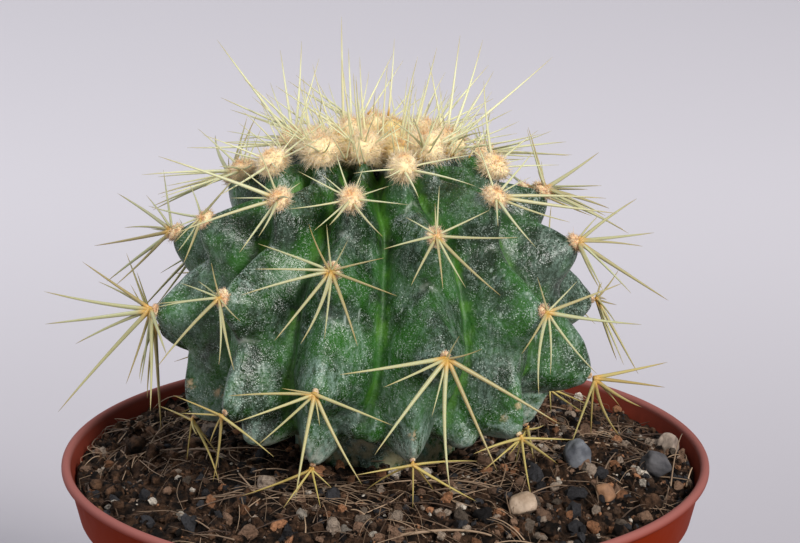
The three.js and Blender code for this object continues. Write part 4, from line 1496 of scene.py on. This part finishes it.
@dataclass
class Soil:
    """Peat mounded up to the plant, with crumbs, grit and dry fibres."""

    body: Body
    pot: Pot
    at_wall: float = -2.6
    at_plant: float = 2.4
    shoulder: float = 17.0
    wall_radius: float = 40.5
    hole_radius: float = 11.1
    hole_floor: float = 62.3
    gap: float = 0.3
    foot_gap: float = 0.7
    columns: int = 480
    rings: int = 84
    lump_sizes: Triple = (6.0, 1.9, 0.8)
    lump_heights: Triple = (0.6, 1.1, 0.45)
    calm_zone: Pair = (22.0, 30.0)
    calm_lumps: float = 0.35
    sinks: Pair = (0.15, 0.3)
    bed_shade: float = 0.6
    peat_share: Slide = (-16.0, 4.0, 0.65, 0.0)
    crumb_lift: float = 0.2
    crumb_room: float = 0.45
    crumb_shade: float = 0.85
    bundles: int = 60
    bundle_spread: float = 1.1
    bundled: float = 0.7
    fibres: int = 980
    fibre_lengths: Pair = (2.5, 11.0)
    fibre_radii: Triple = (0.03, 0.1, 1.6)
    fibre_scatter: Pair = (0.45, 0.6)
    fibre_wander: float = 0.05
    fibre_bend: float = 0.4
    fibre_room: float = 0.25
    fibre_lifts: Pair = (1.5, 0.5)
    foot_fibres: int = 320
    foot_zone: Pair = (18.0, 28.0)
    fibre_steps: int = 12
    fibre_sides: int = 5
    seed: int = 29
    noise: LatticeNoise = field(default_factory=lambda: LatticeNoise(11))
    lumps: tuple[Lump, ...] = (
        Lump(23.9, -17.0, (3.8, 2.6, 2.6), Variety.SLATE),
        Lump(27.9, -14.5, (2.5, 2.1, 2.1), Variety.SLATE),
        Lump(30.1, -12.2, (2.6, 1.7, 1.7), Variety.CLAY),
        Lump(33.6, -4.3, (1.6, 1.4, 1.4), Variety.CHALK),
        Lump(14.3, -23.9, (2.1, 1.7, 1.7), Variety.CLAY),
        Lump(19.7, -23.9, (3.0, 2.3, 2.4), Variety.BARK),
        Lump(23.1, -20.4, (1.1, 1.0, 1.1), Variety.CHALK),
        Lump(23.0, -22.1, (1.6, 1.0, 1.1), Variety.CLAY),
        Lump(26.6, -20.0, (1.6, 1.5, 1.6), Variety.GRIT),
        Lump(19.1, -14.1, (3.0, 2.3, 2.4), Variety.SLATE),
        Lump(22.1, -14.2, (0.8, 0.8, 1.1), Variety.CHALK),
        Lump(7.7, -23.0, (1.9, 1.5, 1.6), Variety.CLAY),
        Lump(5.6, -24.8, (1.1, 1.0, 1.2), Variety.CLAY),
        Lump(6.7, -25.3, (1.6, 1.4, 1.4), Variety.GRIT),
        Lump(9.4, -26.4, (2.7, 1.9, 2.0), Variety.GRIT),
        Lump(12.3, -25.8, (2.7, 2.3, 2.4), Variety.SLATE),
        Lump(11.3, -23.7, (0.8, 0.8, 0.8), Variety.CHALK),
        Lump(9.7, -24.0, (0.8, 0.8, 0.8), Variety.CHALK),
        Lump(23.7, -24.5, (2.6, 2.4, 2.9), Variety.SLATE),
        Lump(26.5, -25.8, (1.4, 0.8, 0.8), Variety.CHALK),
        Lump(32.9, -18.7, (2.5, 1.9, 2.0), Variety.BARK),
        Lump(29.7, -21.9, (2.2, 1.8, 1.8), Variety.GRIT),
        Lump(-25.3, -22.0, (3.0, 1.4, 1.4), Variety.CHALK),
        Lump(-5.7, -12.6, (1.4, 1.3, 2.1), Variety.CLAY),
        Lump(0.5, -6.2, (1.8, 1.7, 2.0), Variety.CHALK),
        Lump(1.1, -14.4, (1.9, 1.4, 1.4), Variety.CHALK),
        Lump(-0.2, -13.2, (1.2, 1.2, 1.3), Variety.CHALK),
        Lump(-5.1, -29.5, (2.3, 1.4, 1.4), Variety.CHALK),
        Lump(-2.7, -26.9, (3.0, 1.7, 1.7), Variety.GRIT),
        Lump(-5.3, -25.3, (1.4, 1.2, 1.2), Variety.CLAY),
        Lump(-2.7, -22.3, (1.9, 0.8, 0.8), Variety.CHALK),
        Lump(-10.4, -25.6, (1.8, 1.2, 1.2), Variety.CHALK),
        Lump(-13.2, -27.2, (2.5, 1.9, 2.0), Variety.CLAY),
        Lump(-17.7, -22.1, (1.6, 1.5, 1.8), Variety.CLAY),
        Lump(-35.2, -14.4, (1.5, 0.9, 0.9), Variety.CHALK),
        Lump(-29.4, -17.6, (1.0, 0.9, 1.3), Variety.CHALK),
        Lump(-38.3, -8.0, (1.4, 0.6, 0.7), Variety.GRIT),
        Lump(-37.2, -10.7, (1.8, 1.2, 1.2), Variety.SLATE),
        Lump(-16.5, -24.8, (1.8, 1.4, 1.4), Variety.GRIT),
        Lump(-6.6, -22.3, (2.6, 2.1, 2.1), Variety.SLATE),
        Lump(-29.9, -22.0, (2.1, 1.7, 1.7), Variety.SLATE),
        Lump(-24.6, -24.8, (3.0, 1.5, 1.6), Variety.SLATE),
        Lump(-16.6, -28.8, (2.7, 2.1, 2.1), Variety.BARK),
        Lump(-23.7, -12.9, (1.6, 1.2, 1.2), Variety.SLATE),
        Lump(3.7, -23.2, (1.6, 1.4, 1.4), Variety.SLATE),
        Lump(15.5, -19.3, (1.5, 1.2, 1.2), Variety.SLATE),
        Lump(-10.7, -22.4, (1.9, 1.3, 1.3), Variety.BARK),
    )
    rootlets: tuple[Rootlet, ...] = (
        Rootlet(((-28.5, -2.3, 0.3), (-24.2, -5.0, 2.6), (-19.6, -8.9, 0.4)), 0.22, 0.35),
        Rootlet(((-4.3, -9.4, 0.8), (-2.2, -10.2, 0.9), (-0.1, -11.1, 0.9)), 0.13, 0.95),
        Rootlet(((-17.6, -17.8, 0.7), (-14.8, -19.7, 0.9), (-12.0, -21.2, 0.6)), 0.16, 0.35),
        Rootlet(((5.3, -12.8, 0.9), (9.5, -12.7, 1.0), (13.6, -11.9, 0.9)), 0.12, 0.95),
        Rootlet(((28.1, -10.2, 0.4), (28.6, -6.4, 1.6), (31.3, 2.4, 0.6)), 0.14, 0.4),
        Rootlet(((37.1, -6.5, 0.5), (38.1, 0.2, 2.5), (39.6, 6.7, 3.0)), 0.11, 0.6),
        Rootlet(((39.2, -5.4, 0.4), (39.6, -4.6, 1.4), (40.1, -3.5, 2.0)), 0.14, 0.9),
        Rootlet(((1.8, -30.8, 0.6), (9.3, -29.1, 1.0), (13.1, -30.4, 0.5)), 0.26, 0.65),
    )

    def level(self, x: Array, y: Array) -> Array:
        """Height of the smooth mound, kept below the plant's rounded foot.

        With w the way out from the plant's axis, the foot is middle - low (1 - w^n)^(1/n).

        Args:
            x: Places across.
            y: Places in depth.

        Returns:
            The heights.
        """
        mound = slide(np.hypot(x, y), self.shoulder, self.pot.lip_radius, self.at_plant, self.at_wall)
        way = np.minimum(1.0, np.hypot(x - self.body.offset_x, y) / self.body.radius)
        power = self.body.squareness
        foot = self.body.middle - self.body.low * (1.0 - way**power) ** (1.0 / power)
        return np.minimum(self.pot.height + mound, foot - self.foot_gap)

    def surface(self, x: Array, y: Array) -> Array:
        """Height of the soil: the mound with lumps of three sizes, calmer under the plant.

        Args:
            x: Places across.
            y: Places in depth.

        Returns:
            The heights.
        """
        place = np.stack([x, y, np.zeros_like(x)], axis=-1)
        broad, rough, fine = (place / size for size in self.lump_sizes)
        heights = self.lump_heights
        lumps = heights[0] * self.noise.fractal(broad, 2) + heights[1] * np.abs(self.noise.at(rough + 3.0))
        lumps = lumps + heights[2] * self.noise.fractal(fine, 2)
        bare = smoothstep(np.hypot(x - self.body.offset_x, y), *self.calm_zone)
        return self.level(x, y) + lumps * lerp(self.calm_lumps, 1.0, bare) - lerp(*self.sinks, bare)

    def build(self) -> None:
        """Builds the soil, its crumbs and its fibres, from the same noise."""
        rng = np.random.default_rng(self.seed)
        finish = SoilFinish().material()
        self.build_bed(finish)
        self.build_crumbs(finish, rng)
        self.build_fibres(rng)

    def build_bed(self, finish: Material) -> None:
        """Closes the soil's surface over its wall, its bottom and the hole for the plant's neck.

        A ring of radius r stands round a middle that moves from the plant's axis at the hole to the pot's
        axis at the wall.

        Args:
            finish: The soil's material.
        """
        turn = full_turn(self.columns)
        radii = np.linspace(self.hole_radius, self.wall_radius, self.rings)[:, None]
        way = (radii - self.hole_radius) / (self.wall_radius - self.hole_radius)
        x = lerp(self.body.offset_x, 0.0, way) + radii * np.cos(turn)
        y = radii * np.sin(turn)
        top = np.stack([x, y, self.surface(x, y)], axis=-1)
        step = self.pot.height - self.pot.collar_height - 1.6
        inset = self.pot.wall + self.gap
        low = self.pot.floor + self.gap
        lowest = self.pot.wall_radius(self.pot.floor) - inset
        below = ((self.pot.wall_radius(step) - inset, step), (lowest, low))
        hole = level_ring(self.hole_radius, self.hole_floor, turn, self.body.offset_x)
        rings = np.concatenate([hole[None], top, [level_ring(*ring, turn) for ring in below]])
        poles = [[self.body.offset_x, 0.0, self.hole_floor], [0.0, 0.0, low]]
        points = np.concatenate([rings.reshape(-1, 3), poles])
        faces = closed_faces(len(rings), self.columns, True)
        # The bed's shade is painted shade for the gaps between the crumbs, over the damp peat's own dark
        # colour.
        flat = {"tone": Variety.PEAT.value, "shade": self.bed_shade}
        values = {name: np.full(len(points), value) for name, value in flat.items()}
        settle(make_mesh("soil_bed", points, faces, values), finish, "potting_soil", ["soil"])

    def lie(self, rng: Rng, count: int) -> tuple[Array, Array]:
        """Random places on the open soil, spread evenly over its area.

        Args:
            rng: Source of the places.
            count: Number of places.

        Returns:
            Their places across and in depth.
        """
        inner = (self.hole_radius + 1.0) ** 2
        away = np.sqrt(rng.uniform(inner, (self.wall_radius - 0.5) ** 2, count))
        turn = rng.uniform(0.0, 2.0 * np.pi, count)
        return away * np.cos(turn), away * np.sin(turn)

    def is_clear(self, points: Array, room: Array) -> Array:
        """Tells which points keep so much room from the plant's skin.

        Args:
            points: The points.
            room: The room that each needs.

        Returns:
            True for each point that is clear.
        """
        away = points - [self.body.offset_x, 0.0, self.body.middle]
        level = np.hypot(away[:, 0], away[:, 1])
        turn = np.degrees(np.arctan2(away[:, 0], -away[:, 1]))
        elevation = np.degrees(np.arctan2(away[:, 2], level))
        return np.linalg.norm(away, axis=1) > self.body.skin_reach(turn, elevation)[0] + room

    def more_peat(self, rng: Rng, x: Array, kinds: Array) -> Array:
        """Turns most crumbs of the left side, where the soil holds little grit, into peat."""
        share = slide(x, *self.peat_share)
        return np.where(rng.uniform(size=len(x)) < share, Variety.PEAT.value, kinds)

    def build_crumbs(self, finish: Material, rng: Rng) -> None:
        """Strews small crumbs, then larger grains with the listed ones before them.

        Args:
            finish: The soil's material.
            rng: Source of places, sizes and shapes.
        """
        for grade, lumps in ((CRUMBS, ()), (GRAINS, self.lumps)):
            x, y = self.lie(rng, grade.count)
            size = grade.smallest + grade.spread * rng.pareto(grade.tail, grade.count)
            size = np.minimum(size, grade.largest)
            kinds = rng.choice([v.value for v in Variety], grade.count, p=grade.mix)
            kinds = self.more_peat(rng, x, kinds)
            sizes = size[:, None] * rng.uniform(grade.slim, grade.wide, (grade.count, 3))
            x = np.append([lump.x for lump in lumps], x)
            y = np.append([lump.y for lump in lumps], y)
            sizes = np.concatenate([np.reshape([lump.size for lump in lumps], (-1, 3)), sizes])
            kinds = np.append([lump.variety.value for lump in lumps], kinds)
            self.strew(grade, finish, rng, (x, y, sizes, kinds))

    def strew(self, grade: Grade, finish: Material, rng: Rng, strewn: tuple[Array, ...]) -> None:
        """Lays crumbs as one piece: balls cut by random planes, turned at random and sunk by a third.

        Args:
            grade: The crumbs' grade.
            finish: The soil's material.
            rng: Source of the shapes and turns.
            strewn: Across, depth, sizes and varieties of the crumbs.
        """
        x, y, sizes, kinds = strewn
        places = np.stack([x, y, self.surface(x, y) + sizes[:, 2] * self.crumb_lift], axis=-1)
        inside = np.hypot(x, y) + sizes[:, 0] / 2 < self.wall_radius + 0.2
        keep = self.is_clear(places, sizes.max(axis=1) * self.crumb_room) & inside
        places, sizes, kinds = places[keep], sizes[keep], kinds[keep]
        turns = np.linalg.qr(rng.normal(size=(len(places), 3, 3)))[0]
        turns *= np.sign(np.linalg.det(turns))[:, None, None]
        shapes, faces = self.crumb_shapes(grade, rng)
        local = shapes[rng.integers(len(shapes), size=len(places))] * sizes[:, None, :] / 2
        points = np.einsum("nvi,nij->nvj", local, turns) + places[:, None, :]
        starts = (np.arange(len(places)) * shapes.shape[1])[:, None, None]
        faces = [(some[None] + starts).reshape(-1, some.shape[1]) for some in faces]
        shade = rng.uniform(0.0, 1.0, len(places)) ** 2.0 * self.crumb_shade
        values = {"tone": np.repeat(kinds, shapes.shape[1]), "shade": np.repeat(shade, shapes.shape[1])}
        piece = make_mesh(grade.name, points.reshape(-1, 3), faces, values, smooth=False)
        settle(piece, finish, "potting_soil", [])

    @staticmethod
    def crumb_shapes(grade: Grade, rng: Rng, count: int = 16, cuts: int = 9) -> Surface:
        """Shapes that the crumbs share: the reach in a direction is that of the nearest random plane.

        Args:
            grade: The crumbs' grade.
            rng: Source of the planes.
            count: Number of shapes.
            cuts: Number of planes that cut each.

        Returns:
            Points by shape, and the faces of one shape.
        """
        points, faces = ball(grade.rows, grade.columns)
        planes = unit(rng.normal(size=(count, cuts, 3)))
        depth = rng.uniform(0.6, 1.0, (count, cuts, 1))
        facing = np.einsum("spi,vi->spv", planes, points)
        grazing, furthest = 0.15, 1.15
        reach = np.where(facing > grazing, depth / np.maximum(facing, grazing), furthest).min(axis=1)
        reach = np.minimum(reach, furthest) * rng.uniform(0.82, 1.12, reach.shape)
        return points[None] * reach[..., None], faces

    def fibre_starts(self, rng: Rng) -> tuple[Array, Array, Array, Array]:
        """Lays the starts of the fibres: most in bundles, some strewn, and the first ones round the foot.

        Args:
            rng: Source of the places and headings.

        Returns:
            Across, depth, heading, and whether each is near the foot.
        """
        count = self.fibres
        x, y = self.lie(rng, count)
        heading = rng.uniform(0.0, 2.0 * np.pi, count)
        middles = self.lie(rng, self.bundles)
        centres = np.stack([*middles, rng.uniform(0.0, 2.0 * np.pi, self.bundles)], axis=-1)
        chosen = centres[rng.integers(self.bundles, size=count)]
        bundled = rng.uniform(size=count) < self.bundled
        x = np.where(bundled, chosen[:, 0] + rng.normal(0.0, self.bundle_spread, count), x)
        y = np.where(bundled, chosen[:, 1] + rng.normal(0.0, self.bundle_spread, count), y)
        heading = np.where(bundled, chosen[:, 2] + rng.normal(0.0, self.fibre_scatter[0], count), heading)
        near = np.arange(count) < self.foot_fibres
        around = rng.uniform(0.0, 2.0 * np.pi, count)
        away = rng.uniform(*self.foot_zone, count)
        x = np.where(near, self.body.offset_x + away * np.cos(around), x)
        y = np.where(near, away * np.sin(around), y)
        along = around + np.pi / 2.0 + rng.normal(0.0, self.fibre_scatter[1], count)
        return x, y, np.where(near, along, heading), near

    def fibre_lines(self, rng: Rng) -> tuple[Array, Array, Array]:
        """Random fibres, nearly straight, held up by the highest crumbs under them.

        A fibre's height is the straight run between its ends plus a bow of 4s(1 - s), as high as its
        middle half needs to clear the soil.

        Args:
            rng: Source of the differences between fibres.

        Returns:
            The axes, the radii and the tones.
        """
        count = self.fibres
        x, y, heading, near = self.fibre_starts(rng)
        s = np.linspace(0.0, 1.0, self.fibre_steps)[None, :]
        wander = np.cumsum(rng.normal(0.0, self.fibre_wander, (count, self.fibre_steps)), axis=1)
        course = heading[:, None] + rng.normal(0.0, self.fibre_bend, (count, 1)) * s + wander
        step = (rng.uniform(*self.fibre_lengths, count) / self.fibre_steps)[:, None]
        px = x[:, None] + np.cumsum(np.cos(course) * step, axis=1)
        py = y[:, None] + np.cumsum(np.sin(course) * step, axis=1)
        held = np.minimum(1.0, (self.wall_radius - 0.3) / np.maximum(np.hypot(px, py), 1e-6))
        px, py = px * held, py * held
        ground = self.surface(px, py) + self.fibre_room
        chord = lerp(ground[:, :1], ground[:, -1:], s)
        bow = 4.0 * s * (1.0 - s)
        lift = np.where(bow > 0.75, (ground - chord) / np.maximum(bow, 0.75), 0.0).max(axis=1, keepdims=True)
        most, extra = self.fibre_lifts
        lift = np.minimum(lift, most) + rng.uniform(0.0, extra, (count, 1))
        axes = np.stack([px, py, chord + lift * bow], axis=-1)
        clear = self.is_clear(axes.reshape(-1, 3), 0.3).reshape(count, -1).all(axis=1)
        tone = rng.uniform(0.0, 1.0, count) ** np.where(near, 1.0, 2.0)
        thinnest, spread, power = self.fibre_radii
        radii = thinnest + spread * rng.uniform(0.0, 1.0, count) ** power
        return axes[clear], radii[clear], tone[clear]

    def rootlet_lines(self) -> tuple[Array, Array, Array]:
        """The listed rootlets, as quadratic curves from start to end that bend towards a point.

        Returns:
            The axes, the radii and the tones.
        """
        course = np.array([root.course for root in self.rootlets])
        course[:, :, 2] += self.surface(course[:, :, 0], course[:, :, 1])
        s = np.linspace(0.0, 1.0, self.fibre_steps)[None, :, None]
        start, bend, end = course[:, 0, None], course[:, 1, None], course[:, 2, None]
        axes = (1.0 - s) ** 2 * start + 2.0 * s * (1.0 - s) * bend + s**2 * end
        radii, tones = np.array([(root.radius, root.tone) for root in self.rootlets]).T
        return axes, radii, tones

    def build_fibres(self, rng: Rng) -> None:
        """Sweeps a circle that thins to half along every fibre and rootlet.

        Args:
            rng: Source of the differences between fibres.
        """
        lines = zip(self.fibre_lines(rng), self.rootlet_lines())
        axes, thickness, tones = (np.concatenate(pair) for pair in lines)
        ahead = unit(np.gradient(axes, axis=1))
        side = unit(np.cross(ahead, [0.0, 0.0, 1.0]))
        s = np.linspace(0.0, 1.0, self.fibre_steps)[None, :, None]
        radii = thickness[:, None, None] * (1.0 - 0.5 * s)
        points, faces = sweep(axes, side, np.cross(ahead, side), radii, self.fibre_sides)
        tone = np.repeat(tones, self.fibre_steps * self.fibre_sides)
        piece = make_mesh("soil_fibres", points.reshape(-1, 3), faces, {"tone": tone})
        settle(piece, FibreFinish().material(), "potting_soil", [])


@dataclass(frozen=True)
class Stone:
    """A pebble in the place of a CAD pebble, with flat faces and worn edges."""

    node: str
    slot: str
    light: Colour
    dark: Colour
    seed: int
    planes: int = 16
    depths: Pair = (0.7, 1.0)
    sharpness: int = 14
    softness: float = 0.12
    grain: Pair = (0.04, 2.5)

    def build(self) -> None:
        """Shapes a ball and fits it to the CAD pebble's box.

        The reach in a direction is the power mean of the distances to random planes, so that the faces
        are flat and the edges round, and noise roughens it.
        """
        rng = np.random.default_rng(self.seed)
        points, faces = ball(40, 64)
        planes = unit(rng.normal(size=(self.planes, 3)))
        facing = np.maximum(points @ planes.T, 0.0) / rng.uniform(*self.depths, self.planes)
        reach = (np.sum(facing**self.sharpness, axis=1) + self.softness) ** (-1.0 / self.sharpness)
        depth, fineness = self.grain
        reach *= 1.0 + depth * LatticeNoise(self.seed).fractal(points * fineness, 4)
        points = points * reach[:, None]
        low, high = (np.array(corner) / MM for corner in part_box(self.node))
        span = points.max(axis=0) - points.min(axis=0)
        points = (points - points.min(axis=0)) / span * (high - low) + low
        finish = StoneFinish(f"{self.node.removeprefix('pebble_')}_stone", self.light, self.dark)
        settle(make_mesh(f"stone_{self.node}", points, faces), finish.material(), self.slot, [self.node])


STONES = (
    Stone("pebble_blue", "grey_stone", rgb(0.19, 0.20, 0.22), rgb(0.06, 0.065, 0.08), 3),
    Stone("pebble_dark", "grey_stone", rgb(0.10, 0.095, 0.10), rgb(0.025, 0.024, 0.028), 8),
    Stone("pebble_split", "pale_stone", rgb(0.42, 0.33, 0.26), rgb(0.16, 0.12, 0.10), 5),
    Stone("pebble_tan", "pale_stone", rgb(0.50, 0.38, 0.28), rgb(0.30, 0.21, 0.14), 9),
    Stone("pebble_orange", "pale_stone", rgb(0.40, 0.21, 0.11), rgb(0.20, 0.10, 0.05), 12),
)


@dataclass
class Studio:
    """A pale floor, soft lights and the camera at the photograph's angle."""

    rim_height: float = 68.0
    distance: float = 450.0
    elevation: float = 19.49
    focal_pixels: float = 3413.8
    sensor: float = 36.0
    rim_pixel: Pair = (385.48, 453.69)
    image: tuple[int, int] = (800, 543)
    roll: float = -0.245
    aim_height: float = 0.08
    floor_half: float = 6.0
    # The near colour is painted shade: the floor darkens towards the pot.
    floor_near_shaded: Colour = rgb(0.420, 0.395, 0.425)
    floor_far: Colour = rgb(0.720, 0.685, 0.725)
    floor_depths: Pair = (0.05, 0.42)

    def camera(self) -> None:
        """Aims the camera so that the lip's middle falls on its pixel."""
        rise = math.radians(self.elevation)
        target = Vector((0.0, 0.0, self.rim_height * MM))
        eye = target + Vector((0.0, -math.cos(rise), math.sin(rise))) * self.distance * MM
        yaw = math.atan((self.image[0] / 2 - self.rim_pixel[0]) / self.focal_pixels)
        pitch = math.atan((self.rim_pixel[1] - self.image[1] / 2) / self.focal_pixels)
        data = bpy.data.cameras.new("camera")
        data.sensor_width = self.sensor
        data.lens = self.focal_pixels / self.image[0] * self.sensor
        data.clip_start = 0.01
        rig = bpy.data.objects.new("camera", data)
        look = Euler((math.pi / 2 - rise + pitch, 0.0, -yaw), "XYZ").to_matrix().to_4x4()
        rig.matrix_world = Matrix.Translation(eye) @ look @ Matrix.Rotation(math.radians(-self.roll), 4, "Z")
        bpy.context.scene.collection.objects.link(rig)
        bpy.context.scene.camera = rig

    def floor(self) -> None:
        """Lays a wide pale floor with painted shade, a little darker near the pot."""
        half = self.floor_half / MM
        corners = np.array([[-half, -half, 0.0], [half, -half, 0.0], [half, half, 0.0], [-half, half, 0.0]])
        floor = make_mesh("floor", corners, [np.array([[0, 1, 2, 3]])])
        g = Graph("floor")
        depth = g.add("SeparateXYZ", Vector=g.place()).outputs["Y"]
        colour = g.mix(g.ramp(depth, *self.floor_depths), self.floor_near_shaded, self.floor_far)
        g.set(Base_Color=colour, Roughness=0.9)
        floor.data.materials.append(g.material)

    def light(self, name: str, place: Triple, size: float, watts: float, colour: Triple) -> None:
        """Hangs a square soft light that faces the plant.

        Args:
            name: Name of the light.
            place: Where it hangs, in metres.
            size: Side of the square, in metres.
            watts: Its power.
            colour: Its colour.
        """
        data = bpy.data.lights.new(name, "AREA")
        data.shape = "SQUARE"
        data.size = size
        data.energy = watts
        data.color = colour
        lamp = bpy.data.objects.new(name, data)
        lamp.location = place
        aim = Vector((0.0, 0.0, self.aim_height)) - Vector(place)
        lamp.rotation_euler = aim.to_track_quat("-Z", "Y").to_euler()
        bpy.context.scene.collection.objects.link(lamp)

    def build(self) -> None:
        """Sets up the camera, the floor, the lights and the sky."""
        self.camera()
        self.floor()
        self.light("key", (0.62, -1.00, 0.84), 0.30, 20.0, (1.0, 0.98, 0.95))
        self.light("fill", (-0.9, -0.7, 0.9), 0.9, 2.0, (0.93, 0.96, 1.0))
        self.light("window", (-0.75, 0.35, 0.95), 0.4, 5.0, (0.88, 0.94, 1.0))
        world = bpy.data.worlds.new("sky")
        world.use_nodes = True
        sky = world.node_tree.nodes["Background"]
        sky.inputs["Color"].default_value = rgb(0.95, 0.95, 1.0)
        sky.inputs["Strength"].default_value = 0.40
        bpy.context.scene.world = world
        bpy.context.scene.view_settings.view_transform = "Standard"


def main() -> None:
    """Builds the studio, the pot, the body and what grows on it."""
    logging.basicConfig(level=logging.INFO, format="%(name)s: %(message)s")
    Studio().build()
    Pot().build()
    body = Body()
    body.build()
    Plant(body).build()
    Soil(body, Pot()).build()
    for stone in STONES:
        stone.build()


if __name__ == "__main__":
    main()
